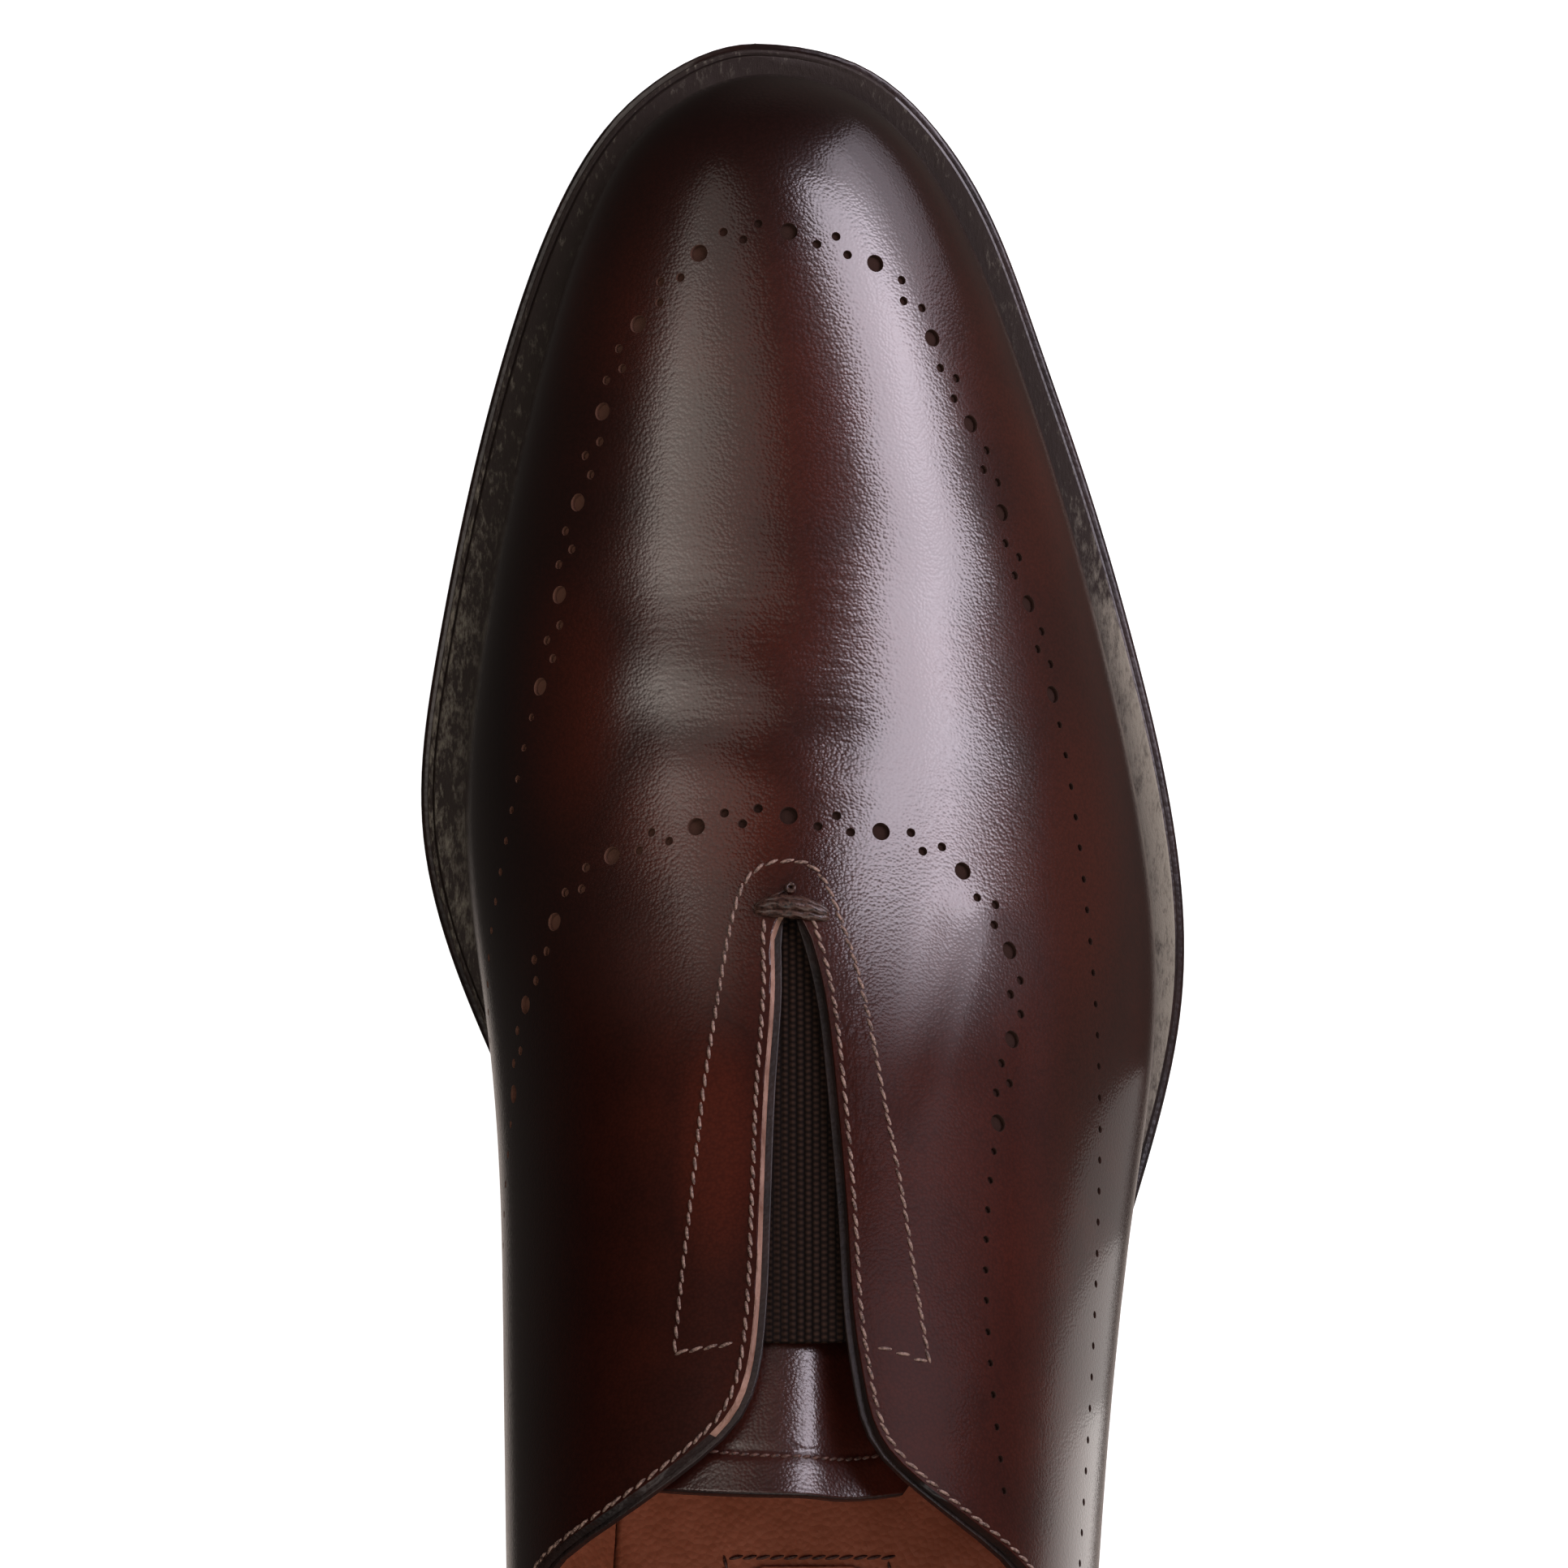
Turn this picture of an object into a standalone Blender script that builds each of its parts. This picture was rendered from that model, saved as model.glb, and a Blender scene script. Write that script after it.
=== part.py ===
"""Slip-on dress shoe for the right foot: a one-piece leather upper with a slit throat over an elastic
gore and a tongue, on a welted leather sole with a heel block.

The shoe stands on its sole. +Y runs to the toe, +X to the outside of the foot, +Z up. The origin is on
the floor, under the middle of the shoe's box. Sizes below are millimetres; meshes are in metres.
"""

import math
from collections import namedtuple

import bmesh
import bpy
import numpy as np

MM = 0.001

# Driving sizes
SHOE_LENGTH = 305.0
UPPER_BACK = 0.8
UPPER_LENGTH = 299.4
UPPER_WALL = 2.2
GAP = 0.3
OUTSOLE_THICKNESS = 4.5
WELT_THICKNESS = 2.5
WELT_SETBACK = 1.0
INSOLE_RISE = 1.2
INSOLE_CLEARANCE = 2.6
GORE_THICKNESS = 1.1
TONGUE_THICKNESS = 1.7

# Sole seen from the side
HEEL_SEAT_BACK = 26.5
HEEL_SEAT_FRONT = 23.0
HEEL_BREAST = 68.0
HEEL_BREAST_HOLLOW = 4.0
TREAD_START = 174.0
TREAD_END = 216.0
TOE_SPRING = 11.0
HEEL_CENTRE = 36.0

# Mesh density
STATIONS = 46
FOOT_STEPS = 2
RIB_STEPS = 12

# One row for each section of the shoe, from the back of the heel to the tip of the toe.
# at is the share of the length; sole_* and upper_* are the outlines seen from above; tuck_* is how far
# the upper's foot lies inside its widest line, and widest how high that line is over the foot; crown_*
# is the ridge of the form over the section, and fullness how square its shoulders are.
Section = namedtuple(
    "Section",
    "at sole_in sole_out upper_in upper_out tuck_in tuck_out widest crown_x crown_z fullness",
)
SECTIONS = [
    Section(0.000, -1.5, -1.5, -1.4, -1.4, 3.2, 3.2, 14.0, -1.5, 115.0, 2.1),
    Section(0.012, -16.2, 13.2, -17.0, 14.2, 3.4, 3.4, 14.0, -1.5, 115.0, 2.1),
    Section(0.050, -28.9, 25.9, -30.6, 27.8, 4.0, 4.0, 14.0, -1.5, 115.0, 2.1),
    Section(0.120, -35.0, 32.0, -37.4, 34.6, 5.0, 5.0, 15.0, -1.5, 115.0, 2.1),
    Section(0.200, -33.6, 32.6, -39.2, 37.3, 7.8, 6.8, 17.0, -2.4, 109.0, 1.95),
    Section(0.300, -30.0, 34.8, -40.4, 40.0, 12.6, 7.2, 20.0, -3.4, 103.0, 2.25),
    Section(0.350, -29.6, 37.2, -40.8, 41.2, 13.6, 5.9, 21.0, -2.8, 96.0, 2.1),
    Section(0.400, -30.8, 40.6, -41.2, 42.7, 12.6, 4.4, 21.0, -1.2, 90.0, 1.9),
    Section(0.480, -37.0, 48.0, -42.0, 46.0, 7.2, 2.4, 17.0, -0.4, 80.0, 1.8),
    Section(0.560, -47.4, 53.5, -44.2, 49.2, 2.6, 2.0, 12.0, -1.0, 69.5, 1.8),
    Section(0.640, -53.8, 52.4, -47.2, 47.8, 2.0, 2.0, 9.0, -2.2, 59.8, 1.85),
    Section(0.720, -51.8, 47.1, -45.8, 43.0, 2.0, 2.0, 8.0, -3.2, 52.4, 1.9),
    Section(0.800, -46.9, 40.0, -41.4, 36.6, 1.8, 1.8, 7.0, -4.0, 47.2, 1.95),
    Section(0.870, -41.1, 32.6, -36.3, 29.7, 1.6, 1.6, 6.5, -4.5, 43.6, 2.0),
    Section(0.930, -33.9, 25.1, -30.3, 22.2, 1.5, 1.5, 6.0, -4.8, 39.6, 2.0),
    Section(0.970, -25.5, 16.3, -23.4, 14.5, 1.4, 1.4, 5.4, -4.8, 35.0, 2.0),
    Section(0.992, -16.2, 6.8, -14.8, 6.2, 1.2, 1.2, 4.8, -4.7, 28.8, 2.0),
    Section(1.000, -6.8, -6.8, -4.7, -4.7, 1.2, 1.2, 4.5, -4.7, 22.0, 2.0),
]

# The slit of the throat and the front of the topline, seen from above
ThroatEdge = namedtuple("ThroatEdge", "from_heel inside outside")
THROAT = [
    ThroatEdge(98.0, -34.0, 28.4),
    ThroatEdge(103.0, -28.6, 24.2),
    ThroatEdge(108.2, -22.0, 19.0),
    ThroatEdge(113.0, -15.8, 13.4),
    ThroatEdge(117.5, -11.6, 9.9),
    ThroatEdge(122.5, -8.7, 8.0),
    ThroatEdge(129.0, -7.1, 7.0),
    ThroatEdge(143.0, -6.1, 5.6),
    ThroatEdge(164.0, -5.1, 3.5),
    ThroatEdge(177.0, -4.0, 1.0),
]
THROAT_TIP = 183.5

# The back of the topline, by its height over the floor
ToplineHeight = namedtuple("ToplineHeight", "from_heel inside outside")
TOPLINE = [
    ToplineHeight(0.8, 88.0, 88.0),
    ToplineHeight(12.0, 84.6, 84.2),
    ToplineHeight(32.0, 77.8, 76.8),
    ToplineHeight(56.0, 74.2, 72.4),
    ToplineHeight(80.0, 74.6, 75.0),
]

# Gore and tongue lie under the throat; their sides, seen from above
PanelEdge = namedtuple("PanelEdge", "from_heel inside outside")
GORE = [
    PanelEdge(128.6, -19.4, 18.4),
    PanelEdge(150.0, -16.8, 14.4),
    PanelEdge(174.0, -12.9, 9.8),
    PanelEdge(186.0, -9.6, 5.8),
    PanelEdge(192.0, -5.0, 1.6),
]
TONGUE = [
    PanelEdge(109.2, -21.8, 17.4),
    PanelEdge(110.8, -23.2, 19.0),
    PanelEdge(117.0, -23.4, 19.6),
    PanelEdge(128.0, -22.0, 19.6),
    PanelEdge(141.0, -20.0, 18.0),
]

# Edge of a leather layer: how far it is set back, at a share of the thickness above its underside
EdgeStep = namedtuple("EdgeStep", "rise set_back")
OUTSOLE_EDGE = [EdgeStep(1.0, 0.5), EdgeStep(0.86, 0.0), EdgeStep(0.36, 0.1), EdgeStep(0.0, 1.4)]
INSOLE_EDGE = [EdgeStep(1.0, 0.9), EdgeStep(0.8, 0.0), EdgeStep(0.0, 0.0)]

# Side of the heel block, from its top piece up to the seat
HEEL_SIDE = [EdgeStep(0.0, 2.4), EdgeStep(0.03, 1.7), EdgeStep(0.23, 1.5), EdgeStep(0.25, 1.9),
             EdgeStep(0.27, 1.4), EdgeStep(0.6, 0.9), EdgeStep(1.0, 0.7)]

# Hand-sewn bar across the tip of the slit
BAR_FROM_HEEL = 183.7
BAR_INSIDE = -6.4
BAR_OUTSIDE = 3.0
BAR_RADIUS = 1.0

# Colours, linear RGB
BURNISHED_BROWN = (0.040, 0.012, 0.009, 1.0)
DARK_EDGE = (0.012, 0.008, 0.007, 1.0)
TAN_LEATHER = (0.160, 0.048, 0.024, 1.0)
GORE_BROWN = (0.028, 0.016, 0.013, 1.0)
THREAD_BROWN = (0.110, 0.065, 0.048, 1.0)

INSIDE, OUTSIDE = -1, 1
FOOT_ANGLE = -math.pi / 6


def cubic(knots, values, flat_ends=False):
    """A cubic spline through values at knots, with free ends or ends of no slope."""
    knots, values = np.asarray(knots, float), np.asarray(values, float)
    step = np.diff(knots)
    slope = np.diff(values) / step
    system = np.eye(len(knots))
    right = np.zeros(len(knots))
    for i in range(1, len(knots) - 1):
        system[i, i - 1 : i + 2] = step[i - 1], 2 * (step[i - 1] + step[i]), step[i]
        right[i] = 6 * (slope[i] - slope[i - 1])
    if flat_ends:
        system[0, :2] = 2 * step[0], step[0]
        system[-1, -2:] = step[-1], 2 * step[-1]
        right[0], right[-1] = 6 * slope[0], -6 * slope[-1]
    bend = np.linalg.solve(system, right)

    def value(s):
        i = int(np.clip(np.searchsorted(knots, s) - 1, 0, len(step) - 1))
        a, b = (knots[i + 1] - s) / step[i], (s - knots[i]) / step[i]
        curve = ((a**3 - a) * bend[i] + (b**3 - b) * bend[i + 1]) * step[i] ** 2 / 6
        return a * values[i] + b * values[i + 1] + curve

    return value


def station_knots():
    """Distance along the upper's mean outline at each section."""
    knots = [0.0]
    for back, front in zip(SECTIONS, SECTIONS[1:]):
        along = (front.at - back.at) * UPPER_LENGTH
        across = ((front.upper_out - front.upper_in) - (back.upper_out - back.upper_in)) / 2
        knots.append(knots[-1] + math.hypot(along, across))
    return knots


KNOTS = station_knots()
COLUMN = {
    name: cubic(KNOTS, [getattr(row, name) for row in SECTIONS], flat_ends=(name == "at"))
    for name in Section._fields
}
S_TOE = KNOTS[-1]


def outline(piece, side, s):
    """A point (x, y) of the sole's or the upper's plan outline, y from the heel."""
    x = COLUMN[f"{piece}_{'in' if side == INSIDE else 'out'}"](s)
    at = COLUMN["at"](s)
    return (x, SHOE_LENGTH * at) if piece == "sole" else (x, UPPER_BACK + UPPER_LENGTH * at)


def outward(piece, side, s):
    """The plan direction that points out of the outline there."""
    reach = 0.05
    if s < reach:
        return 0.0, -1.0
    if s > S_TOE - reach:
        return 0.0, 1.0
    x0, y0 = outline(piece, side, s - reach)
    x1, y1 = outline(piece, side, s + reach)
    length = math.hypot(x1 - x0, y1 - y0)
    return side * (y1 - y0) / length, -side * (x1 - x0) / length


def station_at(from_heel):
    """The station s whose section lies that far from the heel, in front of the heel's round."""
    low, high = 0.0, S_TOE
    for _ in range(50):
        middle = (low + high) / 2
        if UPPER_BACK + UPPER_LENGTH * COLUMN["at"](middle) < from_heel:
            low = middle
        else:
            high = middle
    return (low + high) / 2


def tread_height(from_heel):
    """The underside of the outsole over the floor: heel seat, shank, flat tread and toe spring."""
    seat_slope = (HEEL_SEAT_FRONT - HEEL_SEAT_BACK) / HEEL_BREAST
    if from_heel <= HEEL_BREAST:
        return HEEL_SEAT_BACK + seat_slope * from_heel
    if from_heel < TREAD_START:
        span = TREAD_START - HEEL_BREAST
        t = (from_heel - HEEL_BREAST) / span
        return HEEL_SEAT_FRONT * (1 - t) ** 2 * (1 + 2 * t) + seat_slope * span * t * (1 - t) ** 2
    if from_heel <= TREAD_END:
        return 0.0
    return TOE_SPRING * ((from_heel - TREAD_END) / (SHOE_LENGTH - TREAD_END)) ** 2


def welt_foot(from_heel):
    return tread_height(from_heel) + OUTSOLE_THICKNESS + GAP


def upper_foot(from_heel):
    """Height of the upper's lower edge, just clear of the welt."""
    return welt_foot(from_heel) + WELT_THICKNESS + GAP


def crown(s):
    """Plan place and height of the form's ridge over a station; the heel's ribs share one."""
    y = max(UPPER_BACK + UPPER_LENGTH * COLUMN["at"](s), HEEL_CENTRE)
    return COLUMN["crown_x"](s), y, COLUMN["crown_z"](s)


def rib_width(side, s):
    x, y = outline("upper", side, s)
    cx, cy, _ = crown(s)
    return max(math.hypot(x - cx, y - cy), 1e-4)


def shoulder(side, s):
    """Squareness of one side's shoulder: the wider side is the flatter one, so the ridge stays smooth."""
    return COLUMN["fullness"](s) * rib_width(-side, s) / rib_width(side, s)


def widest_height(s):
    return upper_foot(UPPER_BACK + UPPER_LENGTH * COLUMN["at"](s)) + COLUMN["widest"](s)


def form(side, s, angle):
    """A point of the upper's outer form: angle is FOOT_ANGLE at the welt, 0 on the widest line of the
    side and pi/2 on the ridge."""
    x, y = outline("upper", side, s)
    cx, cy, cz = crown(s)
    widest = widest_height(s)
    if angle < 0:
        low = angle / FOOT_ANGLE
        tuck = low**2 * COLUMN["tuck_in" if side == INSIDE else "tuck_out"](s)
        nx, ny = outward("upper", side, s)
        return np.array([x - nx * tuck, y - ny * tuck, widest - low * COLUMN["widest"](s)])
    share = math.cos(angle)
    rise = max(cz - widest, 0.0) * math.sin(angle) ** (2 / shoulder(side, s))
    return np.array([cx + (x - cx) * share, cy + (y - cy) * share, widest + rise])


def form_inside(side, s, angle, depth):
    """The form's point moved inwards by depth, square to its surface."""
    ds, da = 0.2, 0.002
    along = form(side, min(s + ds, S_TOE), angle) - form(side, max(s - ds, 0.0), angle)
    up = form(side, s, min(angle + da, math.pi / 2)) - form(side, s, max(angle - da, FOOT_ANGLE))
    normal = np.cross(along, up) * side
    return form(side, s, angle) - depth * normal / np.linalg.norm(normal)


def angle_at_x(side, s, x):
    """The rib angle whose plan place is x."""
    cx = crown(s)[0]
    reach = (x - cx) / (outline("upper", side, s)[0] - cx)
    return math.acos(min(max(reach, 0.0), 1.0))


def angle_at_height(side, s, height):
    """The rib angle that lies at a height over the floor."""
    share = (height - widest_height(s)) / (crown(s)[2] - widest_height(s))
    return math.asin(share ** (shoulder(side, s) / 2))


def topline_angles(side):
    """The rib angle of the topline and of the slit's edge, as a function of the station."""
    stations, angles = [], []
    for row in TOPLINE:
        s = station_at(row.from_heel)
        stations.append(s)
        angles.append(angle_at_height(side, s, row.inside if side == INSIDE else row.outside))
    for row in THROAT:
        s = station_at(row.from_heel)
        stations.append(s)
        angles.append(angle_at_x(side, s, row.inside if side == INSIDE else row.outside))
    tip = station_at(THROAT_TIP)
    edge = cubic(stations + [tip], angles + [math.pi / 2])
    return lambda s: math.pi / 2 if s >= tip else min(edge(s), math.pi / 2)


def to_frame(point):
    """Millimetres from the heel to metres from the middle of the shoe's box."""
    return (point[0] * MM, (point[1] - SHOE_LENGTH / 2) * MM, point[2] * MM)


def fresh_scene():
    for obj in list(bpy.data.objects):
        bpy.data.objects.remove(obj, do_unlink=True)
    shoe = bpy.data.collections.new("slip_on_shoe")
    bpy.context.scene.collection.children.link(shoe)
    return shoe


def leather(name, colour, roughness):
    material = bpy.data.materials.new(name)
    material.use_nodes = True
    shader = material.node_tree.nodes["Principled BSDF"]
    shader.inputs["Base Color"].default_value = colour
    shader.inputs["Roughness"].default_value = roughness
    shader.inputs["Metallic"].default_value = 0.0
    return material


def skin(name, rows, material, collection, around=False, closed=False):
    """A mesh lofted through rows of points. around joins each row's ends, closed the last row to the first."""
    mesh = bpy.data.meshes.new(name)
    build = bmesh.new()
    grid = [[build.verts.new(to_frame(point)) for point in row] for row in rows]
    pairs = list(zip(grid, grid[1:] + grid[:1])) if closed else list(zip(grid, grid[1:]))
    for back, front in pairs:
        count = len(back)
        for j in range(count if around else count - 1):
            k = (j + 1) % count
            build.faces.new((back[j], back[k], front[k], front[j]))
    bmesh.ops.remove_doubles(build, verts=build.verts, dist=1e-6)
    bmesh.ops.dissolve_degenerate(build, edges=build.edges, dist=1e-7)
    bmesh.ops.recalc_face_normals(build, faces=build.faces)
    build.to_mesh(mesh)
    build.free()
    mesh.shade_smooth()
    mesh.set_sharp_from_angle(angle=math.radians(40))
    obj = bpy.data.objects.new(name, mesh)
    obj.data.materials.append(material)
    collection.objects.link(obj)
    return obj


def thicken(obj, thickness):
    """Gives an open surface its wall, laid on its inner side."""
    wall = obj.modifiers.new("wall", "SOLIDIFY")
    wall.thickness = thickness * MM
    wall.offset = -1.0
    wall.use_even_offset = True
    return obj


def stations(count):
    """Evenly spaced stations, with one exactly at the tip of the slit."""
    found = [S_TOE * i / (count - 1) for i in range(count)]
    tip = station_at(THROAT_TIP)
    nearest = min(range(count), key=lambda i: abs(found[i] - tip))
    found[nearest] = tip
    return found


def layer(name, piece_points, foot, thickness, edge, material, collection):
    """A bent leather plate: piece_points(side, s, set_back) gives its outline, foot(y) its underside."""
    rows = []
    for s in stations(STATIONS):
        row = []
        for side, steps in ((INSIDE, edge), (OUTSIDE, edge[::-1])):
            for step in steps:
                x, y = piece_points(side, s, step.set_back)
                row.append((x, y, foot(y) + thickness * step.rise))
        rows.append(row)
    return skin(name, rows, material, collection, around=True)


def sole_point(side, s, set_back):
    x, y = outline("sole", side, s)
    nx, ny = outward("sole", side, s)
    return x - nx * set_back, y - ny * set_back


def feather_point(side, s, set_back):
    """The upper's lower edge seen from above, moved inwards by set_back."""
    x, y, _ = form(side, s, FOOT_ANGLE)
    nx, ny = outward("upper", side, s)
    return x - nx * set_back, y - ny * set_back


def make_outsole(material, collection):
    return layer("outsole", sole_point, tread_height, OUTSOLE_THICKNESS, OUTSOLE_EDGE, material, collection)


def make_insole(material, collection):
    """The footbed: it fills the upper's foot down to the outsole."""
    thickness = WELT_THICKNESS + GAP + INSOLE_RISE

    def inside_wall(side, s, set_back):
        return feather_point(side, s, INSOLE_CLEARANCE + set_back)

    return layer("insole", inside_wall, welt_foot, thickness, INSOLE_EDGE, material, collection)


def make_welt(material, collection):
    """A strip round the sole: its inner edge is under the upper's wall, its outer edge shows."""
    sections = [(INSIDE, s) for s in stations(STATIONS)]
    sections += [(OUTSIDE, s) for s in stations(STATIONS)[-2:0:-1]]
    edge_round = 0.5
    rows = []
    for side, s in sections:
        outer = sole_point(side, s, WELT_SETBACK)
        shoulder_line = sole_point(side, s, WELT_SETBACK + edge_round)
        inner = feather_point(side, s, UPPER_WALL)
        row = [(*inner, welt_foot(inner[1])), (*inner, welt_foot(inner[1]) + WELT_THICKNESS)]
        row += [(*shoulder_line, welt_foot(shoulder_line[1]) + WELT_THICKNESS)]
        row += [(*outer, welt_foot(outer[1]) + WELT_THICKNESS - edge_round)]
        row += [(*outer, welt_foot(outer[1]))]
        rows.append(row)
    return skin("welt", rows, material, collection, around=True, closed=True)


def make_heel(material, collection):
    """The heel block under the seat, with its breast hollowed towards the back."""
    breast = station_at(HEEL_BREAST)
    round_steps, breast_steps = 18, 8
    walk = [(INSIDE, breast * (1 - i / round_steps)) for i in range(round_steps + 1)]
    walk += [(OUTSIDE, breast * i / round_steps) for i in range(1, round_steps + 1)]
    rows = []
    for step in HEEL_SIDE:
        row = [sole_point(side, s, step.set_back) for side, s in walk]
        (x1, y1), (x0, y0) = row[-1], row[0]
        for i in range(1, breast_steps):
            t = i / breast_steps
            hollow = HEEL_BREAST_HOLLOW * 4 * t * (1 - t)
            row.append((x1 + (x0 - x1) * t, y1 + (y0 - y1) * t - hollow))
        rows.append([(x, y, step.rise * (tread_height(y) - GAP)) for x, y in row])
    heel = skin("heel", rows, material, collection, around=True)
    build = bmesh.new()
    build.from_mesh(heel.data)
    rims = [edge for edge in build.edges if edge.is_boundary]
    bmesh.ops.holes_fill(build, edges=rims, sides=0)
    bmesh.ops.recalc_face_normals(build, faces=build.faces)
    build.to_mesh(heel.data)
    build.free()
    return heel


def make_upper(material, collection):
    """One hollow wall: ribs from the welt to the topline, the slit or the ridge, all round the foot."""
    topline = {side: topline_angles(side) for side in (INSIDE, OUTSIDE)}
    walk = [(INSIDE, s) for s in stations(STATIONS)]
    walk += [(OUTSIDE, s) for s in stations(STATIONS)[-2::-1]]
    rows = []
    for side, s in walk:
        top = topline[side](s)
        low = [FOOT_ANGLE * (1 - j / FOOT_STEPS) for j in range(FOOT_STEPS)]
        high = [top * j / RIB_STEPS for j in range(RIB_STEPS + 1)]
        rows.append([form(side, s, angle) for angle in low + high])
    return thicken(skin("upper", rows, material, collection), UPPER_WALL)


def throat_panel(name, edges, depth, thickness, material, collection):
    """A sheet under the throat: it follows the upper's form at a depth inside its outer face."""
    along_steps, across_steps = 12, 12
    inside = cubic([row.from_heel for row in edges], [row.inside for row in edges])
    outside = cubic([row.from_heel for row in edges], [row.outside for row in edges])
    back, front = edges[0].from_heel, edges[-1].from_heel
    rows = []
    for i in range(along_steps + 1):
        y = back + (front - back) * i / along_steps
        s = station_at(y)
        row = []
        for j in range(across_steps + 1):
            x = inside(y) + (outside(y) - inside(y)) * j / across_steps
            side = INSIDE if x < crown(s)[0] else OUTSIDE
            row.append(form_inside(side, s, angle_at_x(side, s, x), depth))
        rows.append(row)
    return thicken(skin(name, rows, material, collection), thickness)


def make_gore(material, collection):
    return throat_panel("elastic_gore", GORE, UPPER_WALL + GAP, GORE_THICKNESS, material, collection)


def make_tongue(material, collection):
    depth = UPPER_WALL + GAP + GORE_THICKNESS + GAP
    return throat_panel("tongue", TONGUE, depth, TONGUE_THICKNESS, material, collection)


def make_bar_tack(material, collection):
    """Waxed thread laid over the tip of the slit, its ends bent down to the leather."""
    s = station_at(BAR_FROM_HEEL)
    curve = bpy.data.curves.new("bar_tack", "CURVE")
    curve.dimensions = "3D"
    curve.bevel_depth = BAR_RADIUS * MM
    curve.bevel_resolution = 2
    curve.use_fill_caps = True
    points = 9
    spline = curve.splines.new("POLY")
    spline.points.add(points - 1)
    for i, point in enumerate(spline.points):
        x = BAR_INSIDE + (BAR_OUTSIDE - BAR_INSIDE) * i / (points - 1)
        side = INSIDE if x < crown(s)[0] else OUTSIDE
        lift = BAR_RADIUS + GAP
        point.co = (*to_frame(form_inside(side, s, angle_at_x(side, s, x), -lift)), 1.0)
    bar = bpy.data.objects.new("bar_tack", curve)
    bar.data.materials.append(material)
    collection.objects.link(bar)
    return bar


def main():
    shoe = fresh_scene()
    make_outsole(leather("dressed_edge", DARK_EDGE, 0.35), shoe)
    make_welt(leather("welt_leather", DARK_EDGE, 0.6), shoe)
    make_heel(leather("stacked_leather", DARK_EDGE, 0.4), shoe)
    make_insole(leather("sock_leather", TAN_LEATHER, 0.5), shoe)
    make_upper(leather("burnished_calf", BURNISHED_BROWN, 0.22), shoe)
    make_gore(leather("woven_elastic", GORE_BROWN, 0.8), shoe)
    make_tongue(leather("tongue_calf", BURNISHED_BROWN, 0.3), shoe)
    make_bar_tack(leather("waxed_thread", THREAD_BROWN, 0.6), shoe)


main()
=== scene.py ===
# %% [markdown]
# # A slip-on dress shoe, dressed over its CAD solids
# The shoe is a one-piece calf upper on a welted leather sole. It has no laces: a slit over a woven
# elastic gore lets the foot in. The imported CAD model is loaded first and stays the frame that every
# visible piece is fitted to, so the script starts by reading it and keeping its box.

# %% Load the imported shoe
import math
from collections import namedtuple
from contextlib import contextmanager
from functools import partial

import bpy
import numpy as np
from mathutils import Matrix, Vector


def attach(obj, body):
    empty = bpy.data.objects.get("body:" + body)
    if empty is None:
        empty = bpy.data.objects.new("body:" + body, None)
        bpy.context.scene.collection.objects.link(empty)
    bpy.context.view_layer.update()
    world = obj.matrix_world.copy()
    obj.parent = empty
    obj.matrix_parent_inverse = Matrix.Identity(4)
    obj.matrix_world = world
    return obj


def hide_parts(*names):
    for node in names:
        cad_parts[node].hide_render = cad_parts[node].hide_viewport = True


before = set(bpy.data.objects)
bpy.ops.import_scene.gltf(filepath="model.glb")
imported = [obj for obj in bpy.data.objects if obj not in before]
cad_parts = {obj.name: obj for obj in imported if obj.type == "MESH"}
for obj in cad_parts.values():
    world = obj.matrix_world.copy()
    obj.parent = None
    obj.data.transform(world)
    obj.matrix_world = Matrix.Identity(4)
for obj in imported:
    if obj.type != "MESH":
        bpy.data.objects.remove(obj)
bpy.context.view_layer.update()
MM = 0.001

# %% [markdown]
# ## The last
# A shoe is pulled over a wooden last, and the last's cross-sections decide almost every line of it.
# A subdivided box could be pushed into shape by eye, but a table of sections can be measured, so the
# same table as in the CAD source is repeated here: lengths in millimetres, from the heel's back.

# %% Sizes of the shoe and sections of the last
SHOE_LENGTH = 305.0
UPPER_BACK, UPPER_LENGTH, UPPER_WALL = 0.8, 299.4, 2.2
GAP = 0.3
OUTSOLE_THICKNESS, WELT_THICKNESS, WELT_SETBACK = 4.5, 2.5, 1.0
INSOLE_RISE = 1.2
GORE_THICKNESS, TONGUE_THICKNESS = 1.1, 1.7
HEEL_SEAT_BACK, HEEL_SEAT_FRONT, HEEL_BREAST, HEEL_BREAST_HOLLOW = 26.5, 23.0, 68.0, 4.0
TREAD_START, TREAD_END, TOE_SPRING = 174.0, 216.0, 11.0
HEEL_CENTRE = 36.0
INSIDE, OUTSIDE = -1, 1
FOOT_ANGLE = -math.pi / 6

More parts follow.
